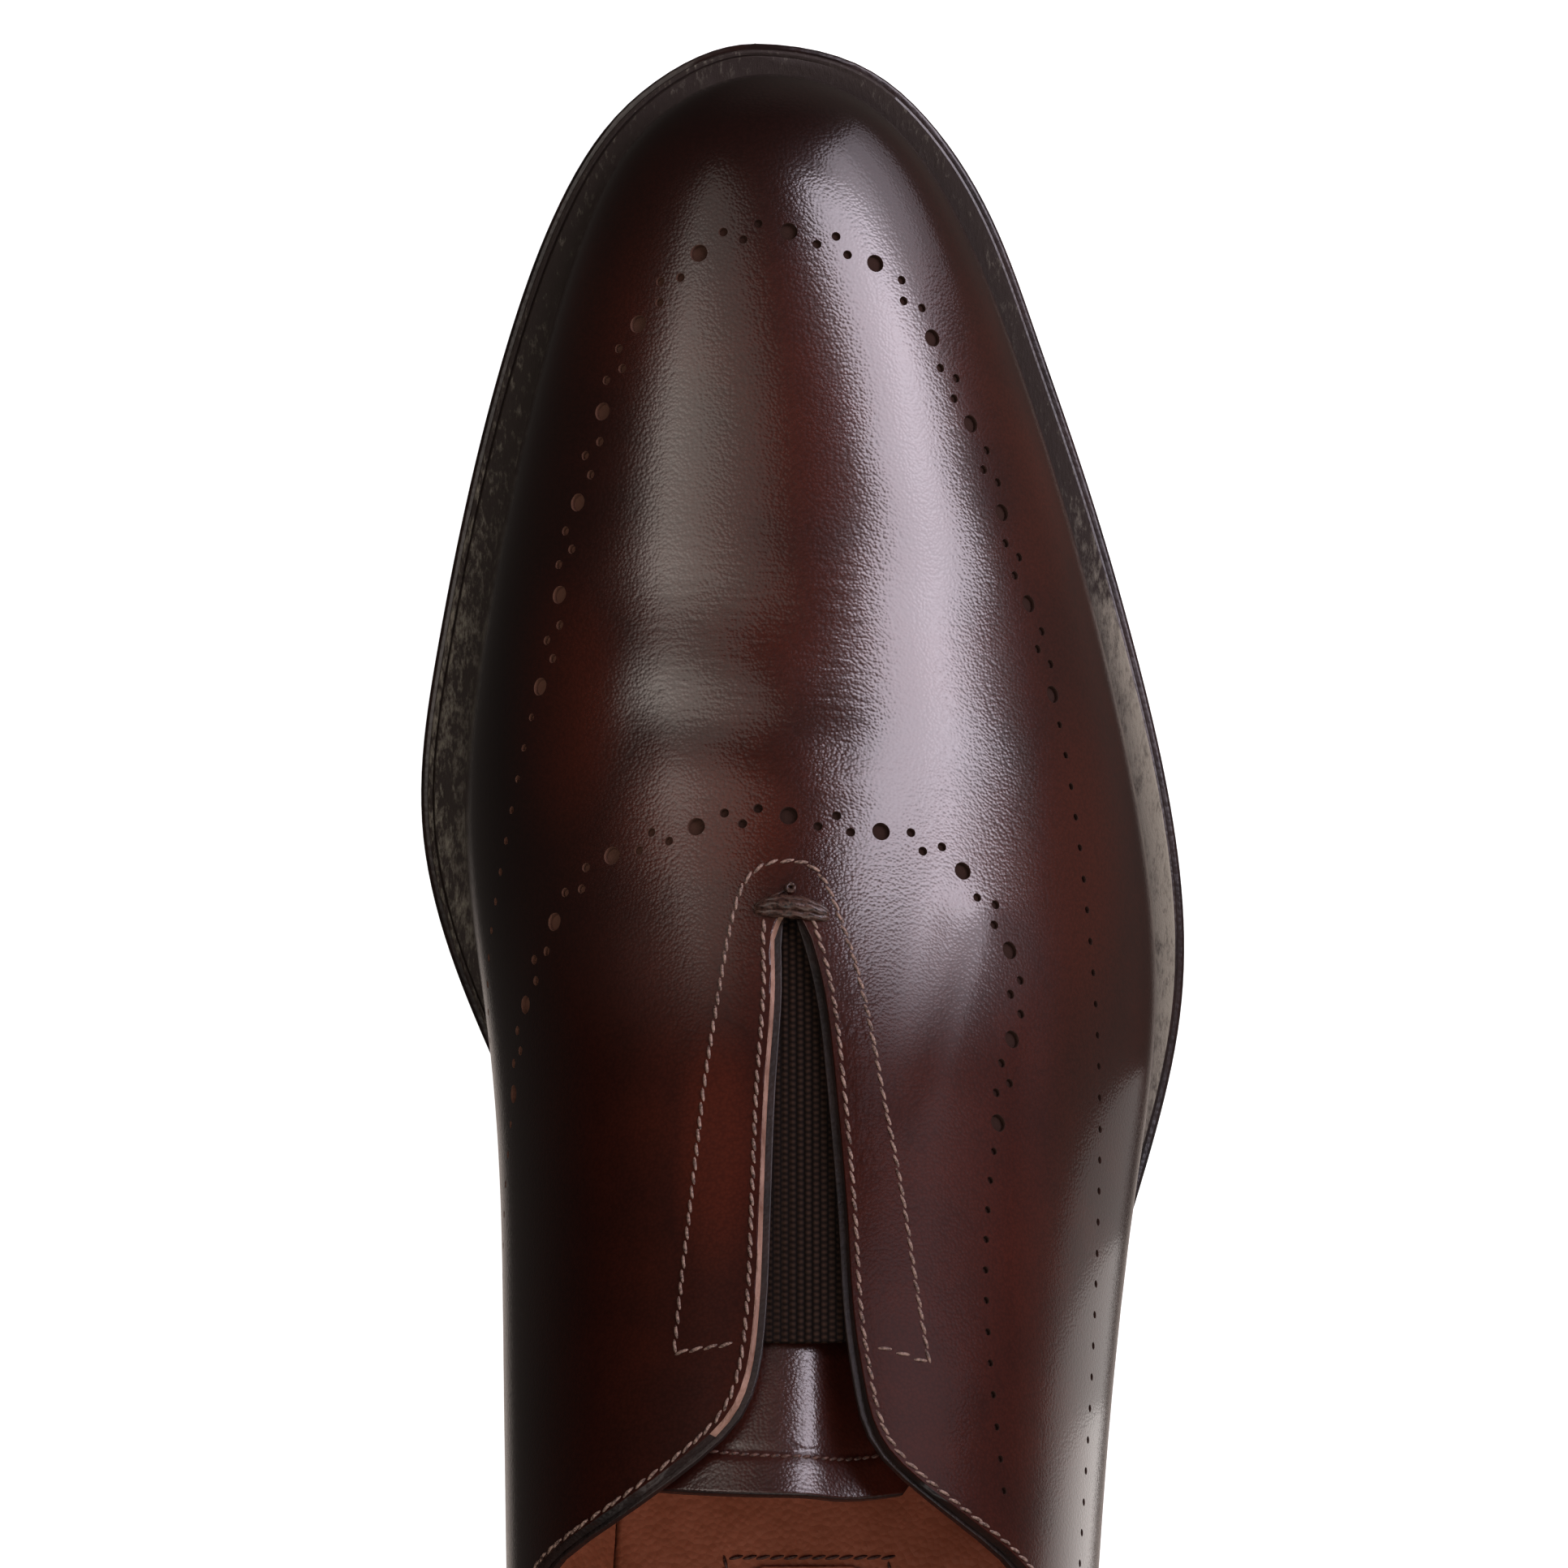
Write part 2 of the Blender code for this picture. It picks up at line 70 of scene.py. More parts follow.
Section = namedtuple(
    "Section", "at sole_in sole_out upper_in upper_out tuck_in tuck_out widest crown_x crown_z fullness")
SECTIONS = [Section(*row) for row in (
    (0.000, -1.5, -1.5, -1.4, -1.4, 3.2, 3.2, 14.0, -1.5, 115.0, 2.1),
    (0.012, -16.2, 13.2, -17.0, 14.2, 3.4, 3.4, 14.0, -1.5, 115.0, 2.1),
    (0.050, -28.9, 25.9, -30.6, 27.8, 4.0, 4.0, 14.0, -1.5, 115.0, 2.1),
    (0.120, -35.0, 32.0, -37.4, 34.6, 5.0, 5.0, 15.0, -1.5, 115.0, 2.1),
    (0.200, -33.6, 32.6, -39.2, 37.3, 7.8, 6.8, 17.0, -2.4, 109.0, 1.95),
    (0.300, -30.0, 34.8, -40.4, 40.0, 12.6, 7.2, 20.0, -3.4, 103.0, 2.25),
    (0.350, -29.6, 37.2, -40.8, 41.2, 13.6, 5.9, 21.0, -2.8, 96.0, 2.1),
    (0.400, -30.8, 40.6, -41.2, 42.7, 12.6, 4.4, 21.0, -1.2, 90.0, 1.9),
    (0.480, -37.0, 48.0, -42.0, 46.0, 7.2, 2.4, 17.0, -0.4, 80.0, 1.8),
    (0.560, -47.4, 53.5, -44.2, 49.2, 2.6, 2.0, 12.0, -1.0, 69.5, 1.8),
    (0.640, -53.8, 52.4, -47.2, 47.8, 2.0, 2.0, 9.0, -2.2, 59.8, 1.85),
    (0.720, -51.8, 47.1, -45.8, 43.0, 2.0, 2.0, 8.0, -3.2, 52.4, 1.9),
    (0.800, -46.9, 40.0, -41.4, 36.6, 1.8, 1.8, 7.0, -4.0, 47.2, 1.95),
    (0.870, -41.1, 32.6, -36.3, 29.7, 1.6, 1.6, 6.5, -4.5, 43.6, 2.0),
    (0.930, -33.9, 25.1, -30.3, 22.2, 1.5, 1.5, 6.0, -4.8, 39.6, 2.0),
    (0.970, -25.5, 16.3, -23.4, 14.5, 1.4, 1.4, 5.4, -4.8, 35.0, 2.0),
    (0.992, -16.2, 6.8, -14.8, 6.2, 1.2, 1.2, 4.8, -4.7, 28.8, 2.0),
    (1.000, -6.8, -6.8, -4.7, -4.7, 1.2, 1.2, 4.5, -4.7, 22.0, 2.0),
)]
print("sections of the last:", len(SECTIONS))

# %% [markdown]
# A cubic spline through each column fairs the table, as a shipwright's batten fairs a hull. The
# functions take whole arrays, so a piece with thousands of points is still laid out in a moment.

# %% Fair curves through the sections
def cubic(knots, values, flat_ends=False):
    """A cubic spline through values at knots, with free ends or ends of no slope."""
    knots, values = np.asarray(knots, float), np.asarray(values, float)
    step = np.diff(knots)
    slope = np.diff(values) / step
    system, right = np.eye(len(knots)), np.zeros(len(knots))
    for i in range(1, len(knots) - 1):
        system[i, i - 1 : i + 2] = step[i - 1], 2 * (step[i - 1] + step[i]), step[i]
        right[i] = 6 * (slope[i] - slope[i - 1])
    if flat_ends:
        system[0, :2], system[-1, -2:] = (2 * step[0], step[0]), (step[-1], 2 * step[-1])
        right[0], right[-1] = 6 * slope[0], -6 * slope[-1]
    bend = np.linalg.solve(system, right)

    def value(s):
        s = np.asarray(s, float)
        i = np.clip(np.searchsorted(knots, s) - 1, 0, len(step) - 1)
        a, b = (knots[i + 1] - s) / step[i], (s - knots[i]) / step[i]
        curve = ((a**3 - a) * bend[i] + (b**3 - b) * bend[i + 1]) * step[i] ** 2 / 6
        return a * values[i] + b * values[i + 1] + curve

    return value


def run_length(points):
    """Distance along a run of points, from the first of them to each."""
    steps = np.linalg.norm(np.diff(points, axis=0), axis=1)
    return np.concatenate([[0.0], np.cumsum(steps)])


def smooth_run(table, samples):
    """A fine, smooth run through a table of two columns; gives the two columns of the run."""
    rows = np.array(table)
    knots = run_length(rows)
    t = np.linspace(0.0, knots[-1], samples)
    return [cubic(knots, column)(t) for column in rows.T]


def unit(vectors):
    """Vectors of the same directions, all 1 long."""
    return vectors / np.maximum(np.linalg.norm(vectors, axis=-1, keepdims=True), 1e-9)


# a station is a distance along the upper's mean outline
KNOTS = run_length([(row.at * UPPER_LENGTH, (row.upper_out - row.upper_in) / 2) for row in SECTIONS])
S_TOE = KNOTS[-1]
COLUMN = {
    name: cubic(KNOTS, [getattr(row, name) for row in SECTIONS], flat_ends=(name == "at"))
    for name in Section._fields
}


def upper_y(s):
    """How far from the heel a station's section lies."""
    return UPPER_BACK + UPPER_LENGTH * COLUMN["at"](s)


FINE_S = np.linspace(0.0, S_TOE, 8001)
FINE_Y = upper_y(FINE_S)


def station_at(from_heel):
    """The station whose section lies that far from the heel."""
    return np.interp(from_heel, FINE_Y, FINE_S)


print("outline from heel to toe:", round(S_TOE, 1), "mm")

# %% Heights of the sole and the upper's foot
def tread_height(from_heel):
    """The underside of the outsole over the floor: heel seat, shank, flat tread and toe spring."""
    y = np.asarray(from_heel, float)
    seat_slope = (HEEL_SEAT_FRONT - HEEL_SEAT_BACK) / HEEL_BREAST
    span = TREAD_START - HEEL_BREAST
    t = (y - HEEL_BREAST) / span
    shank = HEEL_SEAT_FRONT * (1 - t) ** 2 * (1 + 2 * t) + seat_slope * span * t * (1 - t) ** 2
    spring = TOE_SPRING * ((y - TREAD_END) / (SHOE_LENGTH - TREAD_END)) ** 2
    return np.select(
        [y <= HEEL_BREAST, y < TREAD_START, y <= TREAD_END],
        [HEEL_SEAT_BACK + seat_slope * y, shank, 0.0],
        spring,
    )


def welt_foot(from_heel):
    return tread_height(from_heel) + OUTSOLE_THICKNESS + GAP


def upper_foot(from_heel):
    return welt_foot(from_heel) + WELT_THICKNESS + GAP


print("upper's foot over the floor, heel, ball, toe:", upper_foot([0, 190, 300]).round(1))

# %% The form of the last
def side_column(name, side, s):
    return np.where(np.asarray(side) == INSIDE, COLUMN[name + "_in"](s), COLUMN[name + "_out"](s))


def outline(piece, side, s):
    """A point (x, y) of the sole's or the upper's plan outline."""
    y = SHOE_LENGTH * COLUMN["at"](s) if piece == "sole" else upper_y(s)
    return side_column(piece, side, s), y


def outward(piece, side, s):
    """The plan direction that points out of the outline there."""
    reach, side = 0.05, np.asarray(side)
    x0, y0 = outline(piece, side, np.clip(s - reach, 0, S_TOE))
    x1, y1 = outline(piece, side, np.clip(s + reach, 0, S_TOE))
    length = np.hypot(x1 - x0, y1 - y0)
    heel, toe = s < reach, s > S_TOE - reach
    nx = np.where(heel | toe, 0.0, side * (y1 - y0) / length)
    ny = np.where(heel, -1.0, np.where(toe, 1.0, -side * (x1 - x0) / length))
    return nx, ny


def crown(s):
    """Place and height of the form's ridge; the ribs of the heel's round share one."""
    return COLUMN["crown_x"](s), np.maximum(upper_y(s), HEEL_CENTRE), COLUMN["crown_z"](s)


def rib_width(side, s):
    x, y = outline("upper", side, s)
    cx, cy, _ = crown(s)
    return np.maximum(np.hypot(x - cx, y - cy), 1e-4)


def shoulder(side, s):
    return COLUMN["fullness"](s) * rib_width(-np.asarray(side), s) / rib_width(side, s)


def widest_height(s):
    return upper_foot(upper_y(s)) + COLUMN["widest"](s)


def form(side, s, angle):
    """Points of the upper's outer form: angle is FOOT_ANGLE at the welt, 0 on the widest line of the
    side and pi/2 on the ridge."""
    side, s, angle = np.broadcast_arrays(side, np.asarray(s, float), angle)
    x, y = outline("upper", side, s)
    cx, cy, cz = crown(s)
    nx, ny = outward("upper", side, s)
    low = np.maximum(angle / FOOT_ANGLE, 0.0)
    tuck = low**2 * side_column("tuck", side, s)
    high = np.maximum(angle, 0.0)
    share = np.cos(high)
    rise = np.maximum(cz - widest_height(s), 0.0) * np.sin(high) ** (2 / shoulder(side, s))
    return np.stack(
        [
            cx + (x - cx) * share - nx * tuck,
            cy + (y - cy) * share - ny * tuck,
            widest_height(s) + rise - low * COLUMN["widest"](s),
        ],
        axis=-1,
    )


def form_normal(side, s, angle):
    """The direction that points out of the form. Steps that leave a side go on to the other one, so
    both sides agree along the ridge, the back seam and the toe."""
    ds, da = 0.2, 0.002
    side, s, angle = np.broadcast_arrays(side, np.asarray(s, float), angle)
    angle = np.where(s > S_TOE - 0.4, np.minimum(angle, -da), angle)

    def stepped(at_s, at_angle):
        other = (at_s < 0) | (at_s > S_TOE) | (at_angle > math.pi / 2)
        at_s = np.abs(np.where(at_s > S_TOE, 2 * S_TOE - at_s, at_s))
        at_angle = np.where(at_angle > math.pi / 2, math.pi - at_angle, at_angle)
        return form(np.where(other, -side, side), at_s, np.maximum(at_angle, FOOT_ANGLE))

    along = stepped(s + ds, angle) - stepped(s - ds, angle)
    up = stepped(s, angle + da) - stepped(s, angle - da)
    return unit(np.cross(along, up) * side[..., None])


print("widest point of the upper:", form(OUTSIDE, station_at(170.0), 0.0).round(1))

# %% [markdown]
# ## Creases of wear
# Over the ball of the foot the leather has begun to fold. A sculpt brush would leave these marks by
# hand; here each is one row, a soft trough or ridge along a short line, so it can be moved and
# re-rendered. The relief is added square to the form before the leather is laid.

# %% Soft troughs and ridges
Crease = namedtuple("Crease", "x0 y0 x1 y1 half_width height")
CREASES = [Crease(*row) for row in (
    (-25.0, 228.0, -5.0, 224.5, 5.5, -0.22),
    (-25.0, 218.5, -6.0, 216.0, 4.5, 0.17),
    (-22.0, 210.5, 4.0, 207.0, 4.0, -0.2),
    (-18.0, 203.5, 8.0, 201.5, 4.0, 0.15),
    (10.0, 244.0, 25.0, 238.0, 6.0, 0.1),
    (14.0, 229.0, 27.0, 224.0, 5.0, -0.08),
    (18.0, 213.0, 32.0, 206.0, 5.0, 0.07),
    (21.0, 183.0, 13.0, 160.0, 3.0, -0.4),
    (25.0, 180.0, 18.5, 160.0, 3.2, 0.24),
    (-24.0, 186.0, -14.0, 170.0, 5.0, -0.14),
    (0.0, 116.0, -0.6, 148.0, 11.0, -0.7),
    (-0.8, 152.0, -1.4, 174.0, 8.0, -0.5),
)]


def relief(x, y):
    """Height of the worn leather over the last's form, in mm."""
    total = np.zeros_like(x)
    for fold in CREASES:
        dx, dy = fold.x1 - fold.x0, fold.y1 - fold.y0
        t = np.clip(((x - fold.x0) * dx + (y - fold.y0) * dy) / (dx**2 + dy**2), 0.0, 1.0)
        away = np.hypot(x - fold.x0 - t * dx, y - fold.y0 - t * dy)
        total = total + fold.height * np.exp(-((away / fold.half_width) ** 2))
    return total


def leather_point(side, s, angle, depth=0.0):
    """A point of the worn upper, depth below its outer face."""
    point = form(side, s, angle)
    lift = relief(point[..., 0], point[..., 1]) - depth
    return point + lift[..., None] * form_normal(side, s, angle)


print("creases laid:", len(CREASES))

# %% [markdown]
# ## Places on the upper
# Holes and stitches are set out on the closed upper with two numbers: how far from the heel, and the
# girth angle, 0 on the ridge, negative to the inside of the foot and positive to the outside. The
# panels under the slit are cut from a plan, so they use x and y seen from above.

# %% Finding places on the upper
def girth_place(from_heel, girth):
    """Side, station and rib angle of a place given by its girth angle in degrees."""
    girth = np.asarray(girth, float)
    side = np.where(girth < 0, INSIDE, OUTSIDE)
    return side, station_at(from_heel), math.pi / 2 - np.radians(np.abs(girth))


def plan_place(x, from_heel):
    """Side, station and rib angle of a place seen from above."""
    s = station_at(from_heel)
    cx = crown(s)[0]
    side = np.where(np.asarray(x) < cx, INSIDE, OUTSIDE)
    reach = (x - cx) / (outline("upper", side, s)[0] - cx)
    return side, s, np.arccos(np.clip(reach, 0.0, 1.0))


def height_angle(side, s, height):
    """The rib angle at a height over the floor."""
    share = (height - widest_height(s)) / (crown(s)[2] - widest_height(s))
    return np.arcsin(share ** (shoulder(side, s) / 2))


print("top of the gore seam:", leather_point(*plan_place(-2.0, 190.6)).round(1))

# %% The topline and the slit of the throat
# both edges are given on the inside and the outside: heights of the topline, x of the slit
Edges = namedtuple("Edges", "from_heel inside outside")
TOPLINE = [Edges(*row) for row in (
    (0.8, 88.0, 88.0), (12.0, 84.6, 84.2), (32.0, 77.8, 76.8), (56.0, 74.2, 72.4), (80.0, 74.6, 75.0),
)]
THROAT = [Edges(*row) for row in (
    (98.0, -34.0, 28.2), (103.0, -28.0, 22.6), (108.2, -20.6, 16.0), (113.0, -14.2, 10.8),
    (117.5, -9.4, 8.2), (122.5, -6.8, 7.0), (129.0, -5.6, 5.9), (143.0, -4.8, 4.9), (164.0, -3.8, 3.0),
    (177.0, -3.05, 1.0), (183.4, -2.75, -1.0),
)]
THROAT_TIP = 186.0


def topline_curve(side):
    """The rib angle of the topline and the slit's edge, as a function of the station."""
    word = "inside" if side == INSIDE else "outside"
    back = station_at([row.from_heel for row in TOPLINE])
    front = station_at([row.from_heel for row in THROAT])
    x = np.array([getattr(row, word) for row in THROAT])
    cx = crown(front)[0]
    heights = np.array([getattr(row, word) for row in TOPLINE])
    angles = np.concatenate([
        height_angle(side, back, heights),
        np.arccos((x - cx) / (outline("upper", side, front)[0] - cx)),
        [math.pi / 2],
    ])
    tip = station_at(THROAT_TIP)
    edge = cubic(np.concatenate([back, front, [tip]]), angles)
    return lambda s: np.where(s >= tip, math.pi / 2, np.minimum(edge(s), math.pi / 2))


EDGE_CURVE = {side: topline_curve(side) for side in (INSIDE, OUTSIDE)}


def topline_angle(side, s):
    return np.where(np.asarray(side) == INSIDE, EDGE_CURVE[INSIDE](s), EDGE_CURVE[OUTSIDE](s))


print("topline at the back:", form(INSIDE, 0.0, topline_angle(INSIDE, 0.0)).round(1))

# %% [markdown]
# ## Working with operators
# Every piece starts as a Blender primitive, and operators act on whatever is selected. These few
# helpers deselect everything first, lay a grid primitive onto computed points, weld its seams and
# apply modifiers, so the later cells stay short.

# %% Helpers for modelling
BEVEL_FROM = math.radians(55)
FLAT = 0.9  # a face whose normal has more of z than this lies flat
SECOND, THIRD = 1, 2  # places in a piece's list of materials


def frame_points(points):
    """Millimetres from the heel to metres from the middle of the shoe's box."""
    return (np.asarray(points, float) - (0.0, SHOE_LENGTH / 2, 0.0)) * MM


def pick(piece):
    bpy.ops.object.select_all(action="DESELECT")
    piece.select_set(True)
    bpy.context.view_layer.objects.active = piece


def new_object(operator, name, **settings):
    """Runs an operator that adds one object, with nothing else selected, and names what it added."""
    bpy.ops.object.select_all(action="DESELECT")
    operator(**settings)
    piece = bpy.context.object
    piece.name = piece.data.name = name
    return piece


@contextmanager
def editing(piece):
    """Edit mode with the whole piece selected, and back to object mode at the end."""
    pick(piece)
    bpy.ops.object.mode_set(mode="EDIT")
    bpy.ops.mesh.select_all(action="SELECT")
    yield
    bpy.ops.object.mode_set(mode="OBJECT")


def apply_all(piece):
    pick(piece)
    for modifier in list(piece.modifiers):
        bpy.ops.object.modifier_apply(modifier=modifier.name)


def mesh_points(piece):
    points = np.empty(len(piece.data.vertices) * 3)
    piece.data.vertices.foreach_get("co", points)
    return points.reshape(-1, 3)


def lay_grid(name, points, heart=None):
    """A grid primitive laid on rows of points; seams that meet are welded. Faces turn away from heart,
    or, on a closed skin, outwards."""
    rows, columns = points.shape[:2]
    piece = new_object(
        bpy.ops.mesh.primitive_grid_add, name, size=1, x_subdivisions=columns - 1,
        y_subdivisions=rows - 1)
    start = mesh_points(piece)
    column = np.rint((start[:, 0] + 0.5) * (columns - 1)).astype(int)
    row = np.rint((start[:, 1] + 0.5) * (rows - 1)).astype(int)
    piece.data.vertices.foreach_set("co", frame_points(points)[row, column].ravel())
    piece.data.update()
    with editing(piece):
        bpy.ops.mesh.remove_doubles(threshold=1e-6)
        bpy.ops.mesh.dissolve_degenerate(threshold=1e-7)
        if heart is None:
            bpy.ops.mesh.select_all(action="SELECT")
            bpy.ops.mesh.normals_make_consistent(inside=False)
    if heart is not None:
        middle = Vector(frame_points(heart))
        if sum(f.area * f.normal.dot(f.center - middle) for f in piece.data.polygons) < 0:
            with editing(piece):
                bpy.ops.mesh.flip_normals()
    return piece


def dress(piece, *materials):
    for material in materials:
        piece.data.materials.append(material)


def paint_faces(piece, index, chosen):
    """Gives a material index to the faces that are chosen by themselves and their centre, in mm from
    the heel."""
    for face in piece.data.polygons:
        centre = np.array(face.center) / MM + (0.0, SHOE_LENGTH / 2, 0.0)
        if chosen(face, centre):
            face.material_index = index


def thicken(piece, thickness, inner=0, rim=0, round_off=0.0, segments=2):
    """Gives a skin its thickness inwards, other materials on the inner face and the rim, and, where
    round_off is given, rounded edges."""
    wall = piece.modifiers.new("wall", "SOLIDIFY")
    wall.thickness, wall.offset = thickness * MM, -1.0
    wall.material_offset, wall.material_offset_rim = inner, rim
    if round_off:
        rounded = piece.modifiers.new("rounded", "BEVEL")
        rounded.width, rounded.segments, rounded.angle_limit = round_off * MM, segments, BEVEL_FROM
    apply_all(piece)


def join(pieces):
    pick(pieces[0])
    for piece in pieces[1:]:
        piece.select_set(True)
    bpy.ops.object.join()
    return bpy.context.object


def finish_piece(piece, slot, *nodes, smooth=40):
    """Shades a piece, sets it on the shoe's body and hides the solids it stands for."""
    pick(piece)
    if smooth:
        bpy.ops.object.shade_smooth_by_angle(angle=math.radians(smooth))
    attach(piece, "root")
    if nodes:
        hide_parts(*nodes)
    piece.data.calc_loop_triangles()
    print(piece.name, "triangles:", len(piece.data.loop_triangles))


# %% [markdown]
# ## Materials
# Leather is never one colour: dye gathers in the pores, polish gathers in the hollows and the edges are
# rubbed. Each finish below starts from what the real one is. Colours are written as sRGB hex values,
# as read off a swatch, and one function turns them to the linear values that the shader expects.

# %% Colour and node helpers
def linear(swatch):
    """An sRGB hex colour as linear RGBA."""
    parts = [int(swatch[i : i + 2], 16) / 255 for i in (1, 3, 5)]
    return [p / 12.92 if p <= 0.04045 else ((p + 0.055) / 1.055) ** 2.4 for p in parts] + [1.0]


def feed(node, *inputs, **named):
    """Sets or links a node's inputs, given in order or by name (From_Min is the socket From Min). A
    node that is given as a value stands for its output."""
    sockets = list(zip(node.inputs, inputs))
    for name, value in named.items():
        wanted = name.replace("_", " ")
        sockets.append((next(s for s in node.inputs if s.enabled and s.name == wanted), value))
    for socket, value in sockets:
        if isinstance(value, bpy.types.Node):
            value = next(output for output in value.outputs if output.enabled)
        if isinstance(value, bpy.types.NodeSocket):
            node.id_data.links.new(value, socket)
        else:
            socket.default_value = value


def add_node(tree, kind, *inputs, **named):
    """Adds one node of a kind; names in lower case are its settings, the others its inputs."""
    node = tree.nodes.new("ShaderNode" + kind)
    for name in [name for name in named if name.islower()]:
        setattr(node, name, named.pop(name))
    feed(node, *inputs, **named)
    return node


def new_material(name, **sockets):
    """A material with its shader's constant sockets set. Gives the material, the function that adds
    nodes to it, the shader and the coordinates."""
    material = bpy.data.materials.new(name)
    material.use_nodes = True
    add = partial(add_node, material.node_tree)
    shader = material.node_tree.nodes["Principled BSDF"]
    feed(shader, **sockets)
    return material, add, shader, add("TexCoord").outputs["Object"]


def per_mm(size):
    """Texture scale, per metre of Object coordinates, whose features are about size mm across."""
    return 1.0 / (size * MM)


print("mid brown in linear light:", [round(v, 4) for v in linear("#3a1a14")])

# %% [markdown]
# The upper is full-grain calf, dyed by hand and burnished with wax. To the eye that gives a deep
# red-brown with darker clouds, a fine pebble of pores, and a clear wax coat with a sharp highlight.
# Clouds come from wide noise, pores from small cells and the coat from the shader's own coat layer.
# Oval patches place the redder spots and the wrinkles, as the photograph shows them.

# %% Burnished calf
Patch = namedtuple("Patch", "x from_heel reach_x reach_y weight")
RED_PATCHES = [
    Patch(-34, 212, 13, 26, 1.0), Patch(-14, 196, 20, 15, 0.6), Patch(-12, 153, 8, 24, 0.6),
    Patch(37, 190, 10, 32, 0.3),
]
FLAP_WRINKLES = Patch(7.0, 160.0, 6.0, 26.0, 5.0)
VAMP_WRINKLES = Patch(-6.0, 219.0, 26.0, 26.0, 2.6)


def patch_mask(add, where, patch):
    """The patch's weight in the middle of an oval on the upper, falling to 0 at its reach."""
    centre = (patch.x * MM, (patch.from_heel - SHOE_LENGTH / 2) * MM, 0.0)
    away = add("VectorMath", where, centre, operation="SUBTRACT")
    share = add(
        "VectorMath", away, (per_mm(patch.reach_x), per_mm(patch.reach_y), 0.0), operation="MULTIPLY")
    far = add("VectorMath", share, operation="LENGTH")
    return add(
        "MapRange", Value=far, From_Min=1.0, From_Max=0.25, To_Max=patch.weight,
        interpolation_type="SMOOTHSTEP")


def make_burnished_calf(name, mid, dark, red, grain_strength, **gloss):
    material, add, shader, where = new_material(name, IOR=1.5, Coat_IOR=1.5, **gloss)
    cloud = add("TexNoise", Vector=where, Scale=per_mm(30), Detail=4.0, Roughness=0.6)
    patina = add(
        "MapRange", Value=cloud, From_Min=0.3, From_Max=0.72, To_Max=0.35,
        interpolation_type="SMOOTHSTEP")
    for patch in RED_PATCHES:
        mask = patch_mask(add, where, patch)
        patina = add("Math", patina, mask, operation="MAXIMUM")
    dye = add("Mix", Factor=patina, A=linear(mid), B=linear(red), data_type="RGBA")
    # painted shade darkens the inside of the foot; wax and dye are rubbed darker over the tip of the toe
    split = add("SeparateXYZ", Vector=where)
    low = add("MapRange", Value=split.outputs["X"], From_Min=-20 * MM, From_Max=-42 * MM)
    toe = add("MapRange", Value=split.outputs["Y"], From_Min=108 * MM, From_Max=142 * MM)
    toe_rub_and_painted_shade = add("Math", low, toe, operation="MAXIMUM")
    burnished_and_shaded = add("Mix", Factor=toe_rub_and_painted_shade, A=dye, B=linear(dark), data_type="RGBA")
    # the grain: fine pores, a little hair, and wrinkles along the flap and across the vamp
    pores = add("TexVoronoi", Vector=where, Scale=per_mm(0.45), Randomness=1.0, feature="F1")
    hair = add("TexNoise", Vector=where, Scale=per_mm(1.0), Detail=3.0, Roughness=0.65)
    grain = add("Math", hair, 0.35, pores, operation="MULTIPLY_ADD")
    skin = grain
    for patch, drawn in ((FLAP_WRINKLES, (1.0, 0.12, 1.0)), (VAMP_WRINKLES, (0.12, 1.0, 1.0))):
        stretch = add("Mapping", Vector=where, Scale=drawn)
        fold = add("TexNoise", Vector=stretch, Scale=per_mm(1.0), Detail=2.0)
        mask = patch_mask(add, where, patch)
        skin = add("Math", fold, mask, skin, operation="MULTIPLY_ADD")
    bump = add("Bump", Height=skin, Strength=grain_strength, Distance=0.06 * MM, invert=True)
    pore_tone = add("MapRange", Value=grain, From_Min=0.35, From_Max=0.95, To_Min=1.15, To_Max=0.8)
    pored = add("VectorMath", burnished_and_shaded, Scale=pore_tone, operation="SCALE")
    feed(shader, Base_Color=pored, Normal=bump, Coat_Normal=bump)
    return material, add, shader, split


def polish_forepart(add, shader, split):
    """The toe, vamp and walls are waxed to a mirror; the quarters beside the throat stay satin."""
    vamp = add(
        "MapRange", Value=split.outputs["Y"], From_Min=9 * MM, From_Max=37 * MM,
        interpolation_type="SMOOTHSTEP")
    aside = add("Math", split.outputs["X"], operation="ABSOLUTE")
    wall = add(
        "MapRange", Value=aside, From_Min=27 * MM, From_Max=39 * MM, interpolation_type="SMOOTHSTEP")
    wax = add("Math", vamp, wall, operation="MAXIMUM")
    for socket, satin, mirror in (
        ("Coat_Weight", 0.03, 0.8), ("Roughness", 0.5, 0.25), ("Specular_IOR_Level", 0.1, 0.5),
    ):
        share = add("MapRange", Value=wax, To_Min=satin, To_Max=mirror)
        feed(shader, **{socket: share})


# mid, dark and red dyes; the dark one also paints the shade on the inside of the foot
calf_dyes_and_shade = ("#2f120c", "#190907", "#5a2213")
burnished_calf, *calf_nodes = make_burnished_calf(
    "burnished_calf", *calf_dyes_and_shade, 0.34, Coat_Roughness=0.12)
polish_forepart(*calf_nodes)
tongue_calf, *_ = make_burnished_calf(
    "matt_tongue_calf", *calf_dyes_and_shade, 0.6, Roughness=0.36, Coat_Weight=0.85, Coat_Roughness=0.2)
print("made", burnished_calf.name, tongue_calf.name)
